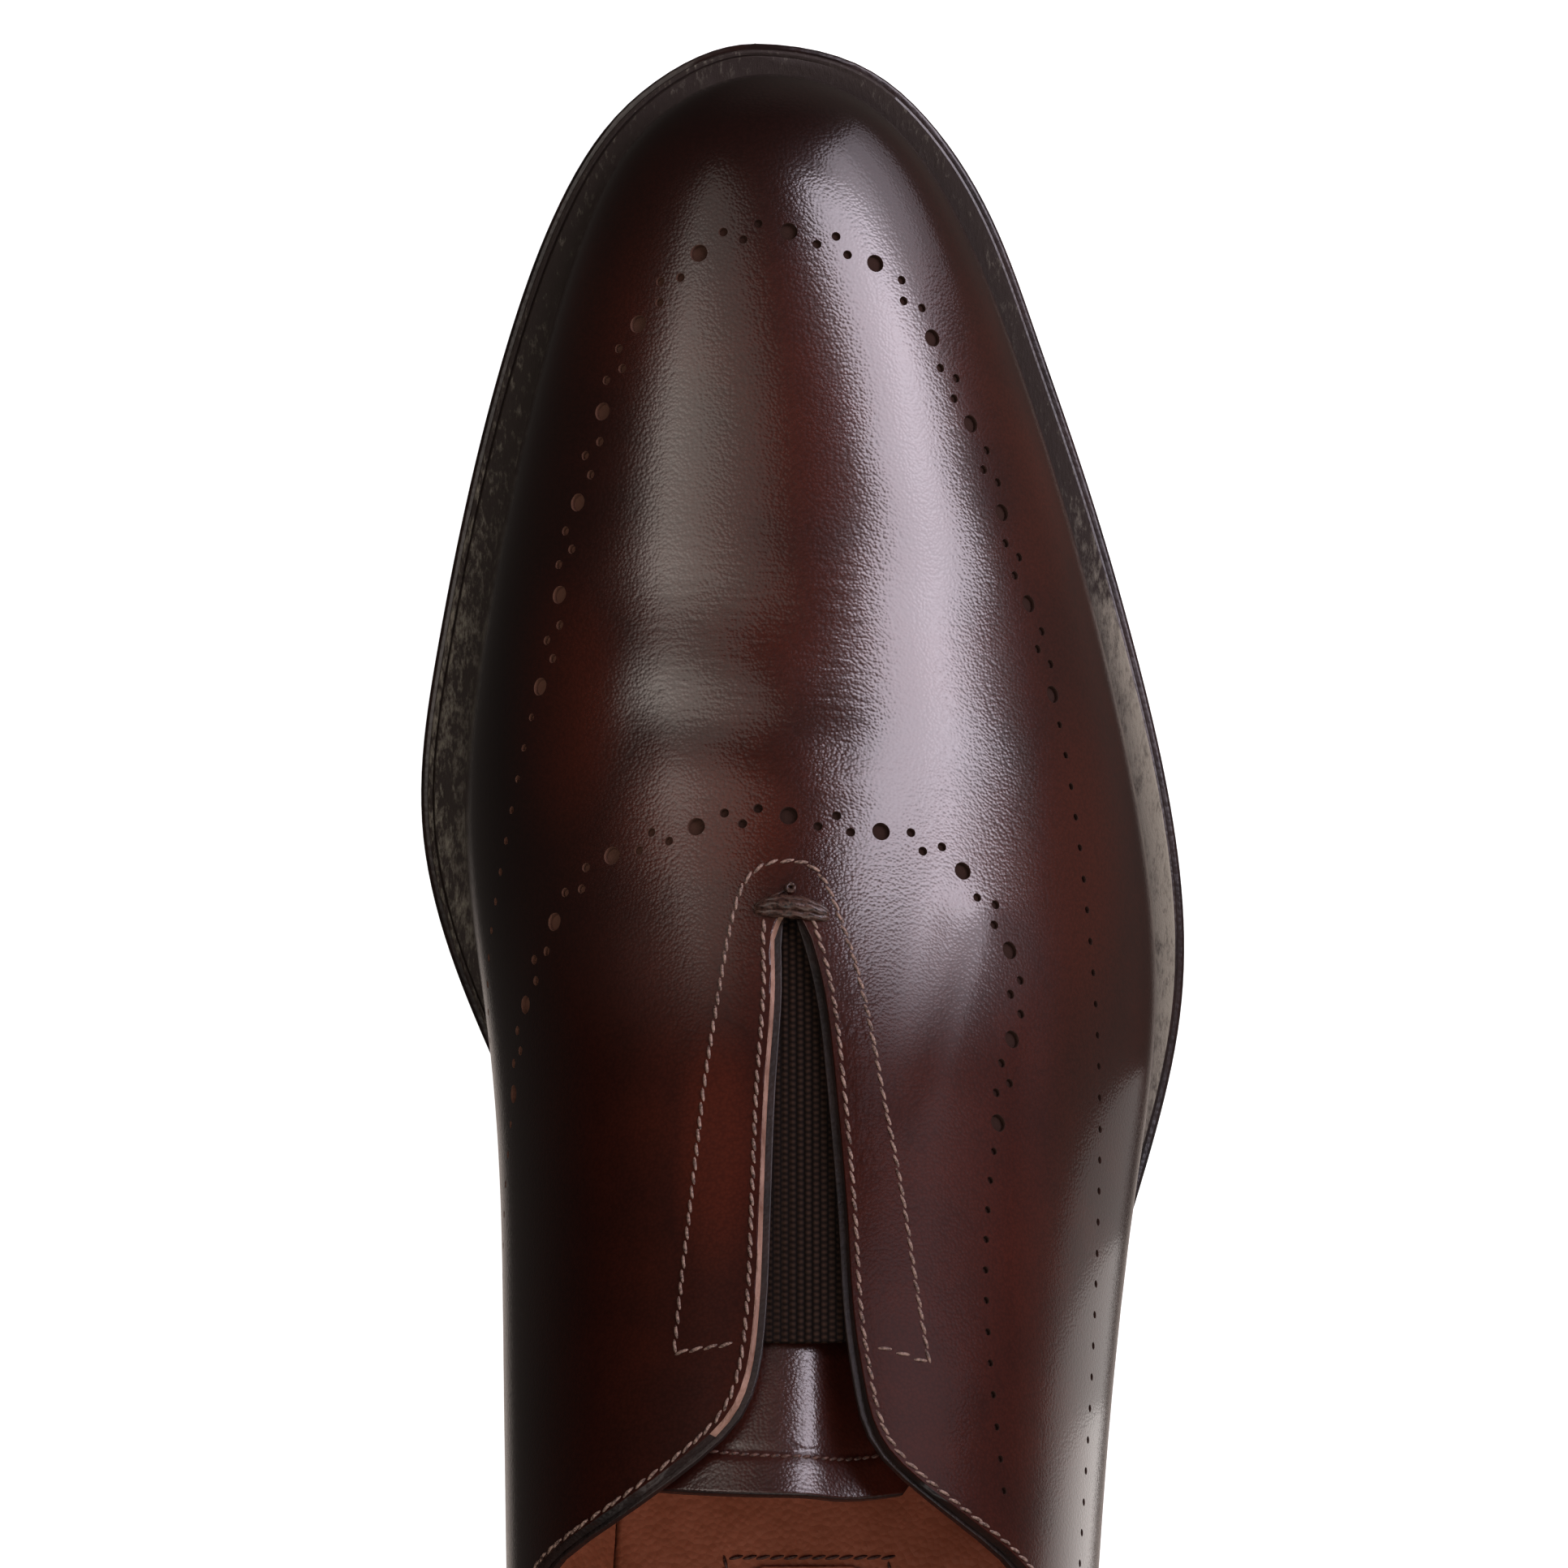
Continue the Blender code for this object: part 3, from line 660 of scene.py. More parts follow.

# %% [markdown]
# Where the calf is cut, its pale core shows as a raw rim. The punched holes show the flesh side of a
# second layer, with painted light on the inside of the foot and painted shade on the outside. The lining
# is plain vegetable-tanned calf. The edge of lining and stiffener at the slit is dyed and waxed by hand
# to a dark, glossy line.

# %% Cut edges, lining and inked edge
def make_plain_leather(name, base, shade, grain_mm, strength, **sockets):
    """Leather with a quiet two-tone mottle and a pore grain."""
    material, add, shader, where = new_material(name, **sockets)
    mottle = add("TexNoise", Vector=where, Scale=per_mm(9), Detail=5.0, Roughness=0.6)
    tone = add("MapRange", Value=mottle, From_Min=0.35, From_Max=0.68)
    dye = add("Mix", Factor=tone, A=linear(shade), B=linear(base), data_type="RGBA")
    grain = add("TexVoronoi", Vector=where, Scale=per_mm(grain_mm), Randomness=1.0, feature="F1")
    bump = add("Bump", Height=grain, Strength=strength, Distance=0.12 * MM, invert=True)
    feed(shader, Base_Color=dye, Normal=bump)
    return material


def make_punched_calf():
    """Rough flesh in the holes: painted light on the inside of the foot, painted shade on the outside.
    """
    material, add, shader, where = new_material(
        "punched_calf", Roughness=0.85, IOR=1.5, Specular_IOR_Level=0.15)
    split = add("SeparateXYZ", Vector=where)
    # painted light and shade: the flesh is lighter on the inside of the foot and darker towards the
    # outside
    painted_shade_outward = add("MapRange", Value=split.outputs["X"], From_Min=-36 * MM, From_Max=-6 * MM)
    nap = add("TexNoise", Vector=where, Scale=per_mm(0.6), Detail=4.0)
    dye = add("Mix", Factor=painted_shade_outward, A=linear("#6f4e41"), B=linear("#33211b"), data_type="RGBA")
    bump = add("Bump", Height=nap, Strength=0.8, Distance=0.12 * MM)
    feed(shader, Base_Color=dye, Normal=bump)
    return material


punched_flesh = make_punched_calf()
skived_rim = make_plain_leather(
    "skived_calf_rim", "#b8917f", "#74503f", 0.5, 0.8, Roughness=0.6, IOR=1.5)
calf_lining = make_plain_leather("calf_lining", "#c67a5e", "#ad664a", 0.9, 1.0, Roughness=0.42, IOR=1.5)
inked_edge = make_plain_leather(
    "inked_waxed_edge", "#2d1b17", "#160d0b", 0.6, 0.6, Roughness=0.5, IOR=1.5, Coat_Weight=0.12,
    Coat_Roughness=0.2)
print("made", skived_rim.name, punched_flesh.name, calf_lining.name, inked_edge.name)

# %% [markdown]
# ## The upper
# The leather of a wholecut is a single skin pulled over the last and lasted under it. A box with a
# subdivision modifier would round off the toe's true line, so a grid is laid along ribs of the last,
# from the welt up to the topline. Rows crowd together near the slit, where the edge has to stay crisp.

# %% Ribs of the upper
EDGE_STEPS = np.array([5.4, 4.4, 3.5, 2.8, 2.2, 1.7, 1.25, 0.85, 0.5, 0.22, 0.0])
TIP_TAPER, SHORT_RIB = 5.0, 45.0
STEPS_BELOW, STEPS_ABOVE = 20, 160  # along a rib, below and above the widest line


def walk_round(count):
    """Sides and stations once round the upper, from the back seam by the inside, toe and outside."""
    s = np.linspace(0.0, S_TOE, count)
    tip = station_at(THROAT_TIP)
    s[np.argmin(np.abs(s - tip))] = tip
    side = np.array([INSIDE] * count + [OUTSIDE] * (count - 1))
    return side, np.concatenate([s, s[-2::-1]])


def rib_at(side, s, top):
    """Fine angles along one rib up to top, and the distance along it at each."""
    angles = np.concatenate([
        np.linspace(FOOT_ANGLE, 0.0, STEPS_BELOW, endpoint=False), np.linspace(0.0, top, STEPS_ABOVE)])
    return angles, run_length(form(side, s, angles))


def set_back_at(s, amount):
    """How far a layer stops short of the topline; it tapers to nothing at the tip of the slit."""
    return amount * np.clip((station_at(THROAT_TIP) - s) / TIP_TAPER, 0.0, 1.0)


def rib_grid(count, body_rows, set_back):
    """Sides, stations and angles of a grid of ribs; set_back[side] mm are left free at the topline."""
    sides, stations = walk_round(count)
    grid = []
    for side, s in zip(sides, stations):
        angles, length = rib_at(side, s, topline_angle(side, s))
        reach = length[-1] - set_back_at(s, set_back[side])
        crowd = EDGE_STEPS * min(1.0, reach / SHORT_RIB)
        body = np.linspace(0.0, reach - crowd[0], body_rows, endpoint=False)
        grid.append(np.interp(np.concatenate([body, reach - crowd]), length, angles))
    return sides[:, None], stations[:, None], np.array(grid)


OUTER_SET_BACK = {INSIDE: 1.45, OUTSIDE: 1.0}
rib_sides, rib_stations, rib_angles = rib_grid(
    count=171, body_rows=40, set_back=OUTER_SET_BACK)
upper_points = leather_point(rib_sides, rib_stations, rib_angles)
print("ribs and points on each:", upper_points.shape[:2])

# %% [markdown]
# Solidify turns the skin into leather 1.2 mm thick. The cut at the topline is skived: its inner corner
# is moved a little further towards the opening, so that the pale raw rim can be seen from above.

# %% Lay the leather and give it thickness
CALF_THICKNESS = 1.2
GRAIN, FLESH, RAW_RIM, DARK_RIM = range(4)
RIM_SLANT, SLANT_END = {INSIDE: 0.5, OUTSIDE: 0.2}, 1.0
INKED_BEHIND, SLIT_MIDDLE = 114.5, -1.7
SHOE_HEART = (0.0, 150.0, 30.0)

upper_leather = lay_grid("upper_leather", upper_points, heart=SHOE_HEART)
dress(upper_leather, burnished_calf, punched_flesh, skived_rim, inked_edge)
skin_count = len(upper_leather.data.vertices)
thicken(upper_leather, CALF_THICKNESS, inner=FLESH, rim=RAW_RIM)

# the row of points along the cut edge, and the way the rib runs there
edge_now = frame_points(upper_points[:, -1])
edge_way = unit(edge_now - frame_points(upper_points[:, -2]))
points = mesh_points(upper_leather)
slit = rib_stations[:, 0] < station_at(THROAT_TIP) - SLANT_END
for at, way, side in zip(edge_now[slit], edge_way[slit], rib_sides[slit, 0]):
    # Solidify adds the inner points after the outer ones, in the same order
    nearest = np.argmin(np.linalg.norm(points[:skin_count] - at, axis=1))
    points[nearest + skin_count] += way * RIM_SLANT[side] * MM
upper_leather.data.vertices.foreach_set("co", points.ravel())
upper_leather.data.update()
# the rim is inked dark towards the heel, and is also painted dark along the outside edge of the slit
paint_faces(upper_leather, DARK_RIM, lambda face, centre: face.material_index == RAW_RIM and (
    centre[1] < INKED_BEHIND or centre[0] > SLIT_MIDDLE))
print("upper leather vertices:", len(points), "of which outside:", skin_count)

# %% [markdown]
# ## Punched holes
# The brogue pattern is two curved lines of punched holes: one round the toe and along the sides, and
# one arching over the throat. Near the middle each line repeats a big hole and three small ones in a
# zigzag, and further back it is a row of single pinholes. A bump map would look flat in raking light, so
# every hole is really cut with a Boolean.

# %% The two lines of holes
HolePlace = namedtuple("HolePlace", "from_heel girth")
TOE_LINE = [HolePlace(*row) for row in (
    (140.0, -113.0), (150.0, -98.0), (160.0, -87.5), (171.3, -78.4), (183.9, -66.2), (192.1, -60.1),
    (200.4, -56.0), (208.8, -52.9), (216.4, -49.9), (228.0, -47.9), (239.7, -46.4), (251.8, -43.3),
    (263.7, -37.0), (271.2, -28.0), (274.4, -20.0), (277.0, -6.0), (277.2, 5.6), (275.6, 20.0),
    (272.9, 29.3), (262.7, 41.4), (251.3, 46.6), (239.5, 49.5), (227.6, 51.5), (216.2, 53.0),
    (199.4, 53.6), (182.6, 53.6), (166.1, 55.6), (149.0, 59.9), (131.9, 64.1), (115.2, 66.9),
    (98.7, 67.5), (84.0, 66.8), (72.0, 65.2),
)]
THROAT_LINE = [HolePlace(*row) for row in (
    (104.0, -114.0), (112.0, -102.0), (122.0, -92.0), (133.0, -85.0), (143.6, -78.5), (151.4, -72.5),
    (159.8, -66.6), (171.5, -57.9), (182.7, -46.3), (191.8, -31.6), (195.6, -15.3), (197.0, 0.4),
    (194.9, 14.7), (190.1, 27.2), (180.2, 35.0), (169.0, 35.9), (158.9, 34.1), (145.3, 32.7),
    (137.9, 33.0), (126.2, 35.2), (118.2, 37.7), (109.7, 40.8), (104.6, 42.6),
)]


def line_on_upper(table):
    """A fine run of places through a table, with the distance along the leather at each."""
    from_heel, girth = smooth_run(table, 4000)
    points = leather_point(*girth_place(from_heel, girth))
    return from_heel, girth, points, run_length(points)


for name, table in (("toe", TOE_LINE), ("throat", THROAT_LINE)):
    print(name, "line of holes:", round(line_on_upper(table)[3][-1]), "mm long")

# %% [markdown]
# One repeat is set out from the middle of the line in both directions. The zigzag turns over from one
# repeat to the next, which gives the running wave of the pattern.

# %% Setting out the holes
Pattern = namedtuple("Pattern", "table middle pitch inside_repeats outside_repeats single_pitch")
PATTERNS = [
    Pattern(TOE_LINE, HolePlace(277.2, 5.6), 13.0, 6, 6, 4.35),
    Pattern(THROAT_LINE, HolePlace(197.0, 0.4), 12.75, 5, 5, 4.3),
]
BIG, SMALL, SINGLE = 1.15, 0.56, 0.45
ZIGZAG = [(0.32, 1.15), (0.5, -0.75), (0.68, 1.15)]
Hole = namedtuple("Hole", "point normal radius")


def set_out(pattern):
    """The holes of one line: big holes and zigzags from its middle, single holes on to its ends."""
    from_heel, girth, points, length = line_on_upper(pattern.table)
    gap = np.hypot(from_heel - pattern.middle.from_heel, girth - pattern.middle.girth)
    middle = length[np.argmin(gap)]
    spots = [(middle, 0.0, BIG)]
    for way, repeats, end in (
        (-1, pattern.inside_repeats, middle), (1, pattern.outside_repeats, length[-1] - middle)
    ):
        for k in range(repeats):
            turn = 1 if (k % 2 == 0) == (way < 0) else -1
            for share, off in ZIGZAG:
                spots.append((middle + way * (k + share) * pattern.pitch, turn * off, SMALL))
            spots.append((middle + way * (k + 1) * pattern.pitch, 0.0, BIG))
        run = repeats * pattern.pitch + pattern.single_pitch
        while run < end:
            spots.append((middle + way * run, 0.0, SINGLE))
            run += pattern.single_pitch
    holes = []
    for along, off, radius in spots:
        i = int(np.clip(np.searchsorted(length, along), 2, len(length) - 3))
        normal = form_normal(*girth_place(from_heel[i], girth[i]))
        across = np.cross(normal, unit(points[i + 2] - points[i - 2]))
        holes.append(Hole(points[i] + off * across, normal, radius))
    return holes


holes = [hole for pattern in PATTERNS for hole in set_out(pattern)]
print("holes:", len(holes), "big:", sum(hole.radius == BIG for hole in holes))

# %% [markdown]
# The punch is one short cylinder whose upper end is flared by extruding and scaling its cap, so the
# leather's rim comes out softly rounded. Its mesh is then repeated at every hole as arrays, each copy
# turned square to the leather, because thousands of operator calls would take minutes.

# %% Model the punch and copy it to every hole
def template(piece):
    """A modelled piece as plain arrays in mm, after which the piece is removed."""
    verts = mesh_points(piece) / MM
    faces = [list(face.vertices) for face in piece.data.polygons]
    bpy.data.objects.remove(piece, do_unlink=True)
    return verts, faces


def copies(name, verts, faces, places):
    """One mesh of many copies; a place is the centre, and the directions of the copy's x and z."""
    points, polygons = [], []
    for i, (centre, along, normal) in enumerate(places):
        z = unit(normal)
        x = unit(along - z * np.dot(along, z))
        points.append(centre + verts @ np.array([x, np.cross(z, x), z]))
        polygons += [[i * len(verts) + v for v in face] for face in faces]
    mesh = bpy.data.meshes.new(name)
    mesh.from_pydata(frame_points(np.concatenate(points)).tolist(), [], polygons)
    mesh.update()
    piece = bpy.data.objects.new(name, mesh)
    bpy.context.scene.collection.objects.link(piece)
    return piece


NECK = 0.3
WIDEST_FLARE, FLARE_SHARE = 0.16, 0.25
FLARE_RINGS = [(0.2, 0.3), (0.1, 0.7), (0.15, 1.2)]


def make_punch(radius, depth, sides):
    """A punch with its tip at -depth and a flare that rounds the rim of the hole."""
    flare = min(WIDEST_FLARE, radius * FLARE_SHARE)
    piece = new_object(
        bpy.ops.mesh.primitive_cylinder_add, "punch_tip", vertices=sides, radius=radius * MM,
        depth=(depth - NECK) * MM, location=(0, 0, -(depth + NECK) / 2 * MM))
    bpy.ops.object.transform_apply(location=True, rotation=True, scale=True)
    with editing(piece):
        bpy.ops.mesh.select_mode(type="FACE")
        bpy.ops.mesh.select_all(action="DESELECT")
    for face in piece.data.polygons:
        face.select = face.normal.z > FLAT
    bpy.ops.object.mode_set(mode="EDIT")
    now = radius
    for rise, growth in FLARE_RINGS:
        bpy.ops.mesh.extrude_region_move(TRANSFORM_OT_translate={"value": (0, 0, rise * MM)})
        wide = radius + flare * growth
        bpy.ops.transform.resize(value=(wide / now, wide / now, 1.0))
        now = wide
    bpy.ops.object.mode_set(mode="OBJECT")
    return template(piece)


def punch_group(radius, depth, sides):
    verts, faces = make_punch(radius, depth, sides)
    places = [
        (hole.point, np.cross(hole.normal, (0.3, 0.8, 0.5)), hole.normal)
        for hole in holes if hole.radius == radius
    ]
    return copies("punch", verts, faces, places)


punches = [
    punch_group(radius, depth, sides)
    for radius, depth, sides in ((BIG, 0.7, 20), (SMALL, 0.6, 14), (SINGLE, 0.6, 12))
]
punch = join(punches)
dress(punch, burnished_calf, punched_flesh)
punch.data.polygons.foreach_set("material_index", np.full(len(punch.data.polygons), FLESH))
print("punch faces:", len(punch.data.polygons))

# %% [markdown]
# The Boolean leaves long faces round every hole, and smooth shading would smear over them. A copy of the
# uncut leather keeps the right normals, and a Data Transfer modifier hands them to the cut leather
# wherever a vertex still lies on the old skin.

# %% Punch the leather
pick(upper_leather)
bpy.ops.object.shade_smooth_by_angle(angle=math.radians(50))
bpy.ops.object.duplicate()
uncut = bpy.context.object
uncut.name = "uncut_leather"
pick(upper_leather)
cut = upper_leather.modifiers.new("punched", "BOOLEAN")
cut.operation, cut.solver, cut.object = "DIFFERENCE", "EXACT", punch
apply_all(upper_leather)
bpy.data.objects.remove(punch, do_unlink=True)

skin = upper_leather.vertex_groups.new(name="skin")
touched = np.zeros(len(upper_leather.data.vertices), bool)
for face in upper_leather.data.polygons:
    if face.material_index == GRAIN:
        touched[list(face.vertices)] = True
skin.add(np.nonzero(touched)[0].tolist(), 1.0, "REPLACE")
keep = upper_leather.modifiers.new("normals", "DATA_TRANSFER")
keep.object, keep.vertex_group = uncut, "skin"
keep.use_loop_data, keep.data_types_loops = True, {"CUSTOM_NORMAL"}
keep.loop_mapping = "POLYINTERP_NEAREST"
apply_all(upper_leather)
bpy.data.objects.remove(uncut, do_unlink=True)
upper_leather.vertex_groups.clear()
finish_piece(upper_leather, "upper_leather", "upper", smooth=0)

# %% [markdown]
# ## Lining and inked edge
# Behind the calf lies a lining that reaches the very edge of the slit. Its cut edge and the strip beside
# it are inked dark. One thinner shell, laid 1.25 mm deep, does both: the outside of it gets the ink and
# the inside the tan lining.

# %% Lay the lining
LINING_DEPTH, INKED_ABOVE = 1.25, 40.0
lining_sides, lining_stations, lining_angles = rib_grid(
    count=121, body_rows=22, set_back={INSIDE: 0.0, OUTSIDE: 0.0})
lining_points = leather_point(lining_sides, lining_stations, lining_angles, LINING_DEPTH)
upper_lining = lay_grid("upper_lining", lining_points, heart=SHOE_HEART)
dress(upper_lining, inked_edge, calf_lining)
thicken(upper_lining, UPPER_WALL - LINING_DEPTH, inner=SECOND, round_off=0.28)
paint_faces(upper_lining, SECOND, lambda face, centre: centre[2] < INKED_ABOVE)
finish_piece(upper_lining, "upper_leather", smooth=50)

# %% [markdown]
# ## Elastic gore
# The gore is elastic webbing, woven in narrow lengthwise ribs. The ribs are wide enough to model, so the
# sheet under the slit is laid with several points to each rib; the cross threads stay a bump.

# %% Woven elastic
GORE_RIB, GORE_PICK = 1.05, 0.85


def make_woven_elastic():
    """Cords run lengthwise, and the cross thread lifts on every second pick of each cord."""
    material, add, shader, where = new_material(
        "woven_elastic", Roughness=0.9, IOR=1.45, Specular_IOR_Level=0.15)
    fuzz = add("TexNoise", Vector=where, Scale=per_mm(0.5), Detail=3.0)
    split = add("SeparateXYZ", Vector=where)
    across = add("Math", split.outputs["X"], per_mm(GORE_RIB), operation="MULTIPLY")
    cord = add("Math", across, operation="FLOOR")
    share = add("Math", across, math.pi, operation="MULTIPLY")
    wave = add("Math", share, operation="SINE")
    crest = add("Math", wave, operation="ABSOLUTE")
    wander = add("Math", fuzz, 0.25 * MM, split.outputs["Y"], operation="MULTIPLY_ADD")
    pick_turn = add("Math", wander, 2 * math.pi * per_mm(GORE_PICK), operation="MULTIPLY")
    turn = add("Math", cord, math.pi, pick_turn, operation="MULTIPLY_ADD")
    weft = add("Math", turn, operation="SINE")
    lift = add("Math", weft, 0.42, 0.58, operation="MULTIPLY_ADD")
    yarn = add("Math", crest, lift, operation="MULTIPLY")
    # the grooves between cords and picks are darker: partly the webbing's own two tones, partly painted
    # shade
    dye = add("Mix", Factor=yarn, A=linear("#0b0706"), B=linear("#3a2a22"), data_type="RGBA")
    bump = add("Bump", Height=yarn, Strength=0.8, Distance=0.2 * MM)
    feed(shader, Base_Color=dye, Normal=bump)
    return material


woven_elastic = make_woven_elastic()
print("made", woven_elastic.name)

# %% Lay the gore
GORE = [Edges(*row) for row in (
    (128.6, -19.4, 18.4), (150.0, -16.8, 14.4), (174.0, -12.9, 9.8), (186.0, -9.6, 5.8),
    (192.0, -5.0, 1.6),
)]
RIB_HEIGHT, WEBBING_THICKNESS = 0.16, 0.8


def panel_grid(edges, along_count, across_count):
    """Plan places of a panel: x and the distance from the heel, row by row."""
    from_heel = [row.from_heel for row in edges]
    y = np.linspace(from_heel[0], from_heel[-1], along_count)[:, None]
    inside = cubic(from_heel, [row.inside for row in edges])(y)
    outside = cubic(from_heel, [row.outside for row in edges])(y)
    x = inside + (outside - inside) * np.linspace(0.0, 1.0, across_count)
    return x, np.broadcast_to(y, x.shape)


x, y = panel_grid(GORE, along_count=64, across_count=181)
ribs = RIB_HEIGHT * (np.abs(np.sin(math.pi * x / GORE_RIB)) - 1.0)
gore_points = leather_point(*plan_place(x, y), UPPER_WALL + GAP - ribs)
gore = lay_grid("gore_webbing", gore_points, heart=(0.0, 150.0, -200.0))
dress(gore, woven_elastic)
thicken(gore, WEBBING_THICKNESS)
finish_piece(gore, "elastic", "elastic_gore", smooth=80)

# %% [markdown]
# ## Tongue
# The tongue is a short flap of the same calf behind the gore. Its back edge is folded under and sewn, so
# the hem stands a little proud and the seam pulls a shallow groove in front of it.

# %% Lay the tongue
TONGUE = [Edges(*row) for row in (
    (109.2, -21.8, 17.4), (110.8, -23.2, 19.0), (117.0, -23.4, 19.6), (128.0, -22.0, 19.6),
    (141.0, -20.0, 18.0),
)]
TONGUE_DEPTH = UPPER_WALL + GAP + GORE_THICKNESS + GAP
HEM_SEAM, HEM_RISE, SEAM_PULL, SEAM_WIDTH = 114.6, 0.35, 0.3, 0.7
RIDGE_X, RIDGE_WIDTH, RIDGE_SLOPE, RIDGE_FALL = 1.3, 1.5, 0.75, 4.5


def hem_relief(y):
    """Height of the folded hem over the tongue, with the groove that its seam pulls."""
    proud = HEM_RISE / (1 + np.exp((y - HEM_SEAM) / HEM_RISE))
    return proud - SEAM_PULL * np.exp(-(((y - HEM_SEAM) / SEAM_WIDTH) ** 2))


def instep_ridge(x):
    """Behind the ridge of the instep the tongue falls away to the outside of the foot."""
    fall = RIDGE_SLOPE * RIDGE_WIDTH * np.log1p(np.exp((x - RIDGE_X) / RIDGE_WIDTH))
    return -RIDGE_FALL * np.tanh(fall / RIDGE_FALL)


def tongue_point(x, y):
    return leather_point(*plan_place(x, y), TONGUE_DEPTH - hem_relief(y) - instep_ridge(x))


tongue_places = panel_grid(TONGUE, along_count=72, across_count=60)
tongue = lay_grid("tongue_leather", tongue_point(*tongue_places), heart=(0.0, 120.0, -200.0))
dress(tongue, tongue_calf, calf_lining, inked_edge)
thicken(tongue, TONGUE_THICKNESS, inner=SECOND, rim=THIRD, round_off=0.55, segments=3)
finish_piece(tongue, "tongue_leather", "tongue", smooth=60)

# %% [markdown]
# ## Stitches
# Seams are what tell the eye the size of a shoe. A thread drawn as one tube looks like a wire, so each
# stitch is its own small lens of thread: a sphere squeezed by scaling, its ends pushed down into the
# leather as if through the needle holes. Rows of them follow the topline, the gore seam and the hem.

# %% Waxed thread
def make_waxed_thread(name, pale, dark, **sockets):
    """Twisted thread: pale plies with dark wax between them, about two twists to a stitch."""
    material, add, shader, where = new_material(name, **sockets)
    plies = add("TexNoise", Vector=where, Scale=per_mm(0.45), Detail=3.0, Roughness=0.7)
    tone = add("MapRange", Value=plies, From_Min=0.36, From_Max=0.6)
    wax = add("Mix", Factor=tone, A=linear(dark), B=linear(pale), data_type="RGBA")
    bump = add("Bump", Height=plies, Strength=0.6, Distance=0.1 * MM)
    feed(shader, Base_Color=wax, Normal=bump)
    return material


seam_thread = make_waxed_thread("polyester_seam_thread", "#a98c7e", "#3a2620", Roughness=0.5, IOR=1.5)
hem_thread = make_waxed_thread("brown_seam_thread", "#6b4a40", "#25140f", Roughness=0.5, IOR=1.5)
bar_thread = make_waxed_thread("waxed_linen_thread", "#5a4037", "#1a100d", Roughness=0.3, IOR=1.5)
print("made", seam_thread.name, hem_thread.name, bar_thread.name)

# %% Model one stitch
STITCH_FLATNESS, STITCH_DIVE, STITCH_RISE = 0.85, 1.1, 0.35


def make_stitch(length, radius):
    piece = new_object(
        bpy.ops.mesh.primitive_uv_sphere_add, "stitch", segments=8, ring_count=6, radius=1.0 * MM)
    with editing(piece):
        bpy.ops.transform.rotate(value=math.pi / 2, orient_axis="Y", center_override=(0, 0, 0))
        bpy.ops.transform.resize(value=(length / 2, radius, radius * STITCH_FLATNESS))
    verts, faces = template(piece)
    verts[:, 2] -= STITCH_DIVE * radius * (verts[:, 0] / (length / 2)) ** 2 - STITCH_RISE * radius
    return verts, faces


def sew(name, runs, length=2.3, pitch=1.95, radius=0.25, slant=13.0):
    """A row of stitches along each run of points, given with the normals of the leather there."""
    places = []
    for points, normals in runs:
        along = run_length(points)
        count = max(int(along[-1] / pitch), 1)
        for d in (np.arange(count) + 0.5) * along[-1] / count:
            i = int(np.clip(np.searchsorted(along, d), 1, len(along) - 2))
            way = unit(points[i + 1] - points[i - 1])
            way = way + math.tan(math.radians(slant)) * np.cross(normals[i], way)
            places.append((points[i], way, normals[i]))
    piece = copies(name, *make_stitch(length, radius), places)
    print(name, "stitches:", len(places))
    return piece


# %% Sew the topline, the gore seam and the hem
SEAM_SET_BACK, SEAM_END = {INSIDE: 2.45, OUTSIDE: 2.1}, 2.5


def edge_run(side, start, end, count=500):
    """A run of points that follows the topline at the seam's distance below it."""
    s = np.linspace(start, end, count)
    angles = []
    for one in s:
        rib, length = rib_at(side, one, topline_angle(side, one))
        angles.append(np.interp(length[-1] - SEAM_SET_BACK[side], length, rib))
    place = (np.full(count, side), s, np.array(angles))
    return leather_point(*place), form_normal(*place)


def plan_run(table):
    """A smooth run through plan places (x, from_heel) on the upper."""
    place = plan_place(*smooth_run(table, 600))
    return leather_point(*place), form_normal(*place)


last = station_at(THROAT_TIP) - SEAM_END
topline_runs = [edge_run(INSIDE, last, 0.0), edge_run(OUTSIDE, 0.0, last)]
GORE_SEAM = [
    (-17.3, 125.8), (-16.3, 136.0), (-15.2, 145.6), (-13.5, 160.5), (-11.2, 175.4), (-9.3, 184.8),
    (-7.6, 188.6), (-5.0, 190.5), (-2.3, 190.9), (0.6, 190.4), (3.1, 187.6), (4.6, 184.0), (6.6, 178.3),
    (10.0, 163.3), (13.1, 146.8), (15.2, 133.0), (16.6, 124.5),
]
gore_runs = [
    plan_run(GORE_SEAM),
    plan_run([(-17.3, 125.8), (-13.0, 126.7), (-9.6, 127.3)]),
    plan_run([(9.6, 127.0), (13.0, 125.9), (16.6, 124.5)]),
]
HEM_REACH, HEM_BOW = 15.0, 0.5
hem_x = np.linspace(-15.5, HEM_REACH, 300)
hem_y = HEM_SEAM + HEM_BOW * (hem_x / HEM_REACH) ** 2 - HEM_BOW
hem_run = (tongue_point(hem_x, hem_y), form_normal(*plan_place(hem_x, hem_y)))

for name, runs, slot, thread, size in (
    ("topline_stitches", topline_runs, "upper_leather", seam_thread, {}),
    ("gore_stitches", gore_runs, "upper_leather", seam_thread, {}),
    ("hem_stitches", [hem_run], "tongue_leather", hem_thread, {"length": 1.6, "pitch": 1.35}),
):
    row = sew(name, runs, **size)
    dress(row, thread)
    finish_piece(row, slot, smooth=60)

# %% [markdown]
# ## Bar tack
# The tip of the slit would tear, so a hand-sewn bar of waxed thread crosses it: three thick strands laid
# side by side, whose ends dive into the leather. Each strand is swept as a ring along the same arch.

# %% Sew the bar across the slit
BAR_FROM_HEEL, BAR_INSIDE, BAR_OUTSIDE = 184.6, -6.9, 3.6
BAR_TILT, BAR_BOW, BAR_LIFT, BAR_DIVE = 0.09, 0.022, 0.6, 0.5
PLIES, PLY_SWELL = 3, 0.1


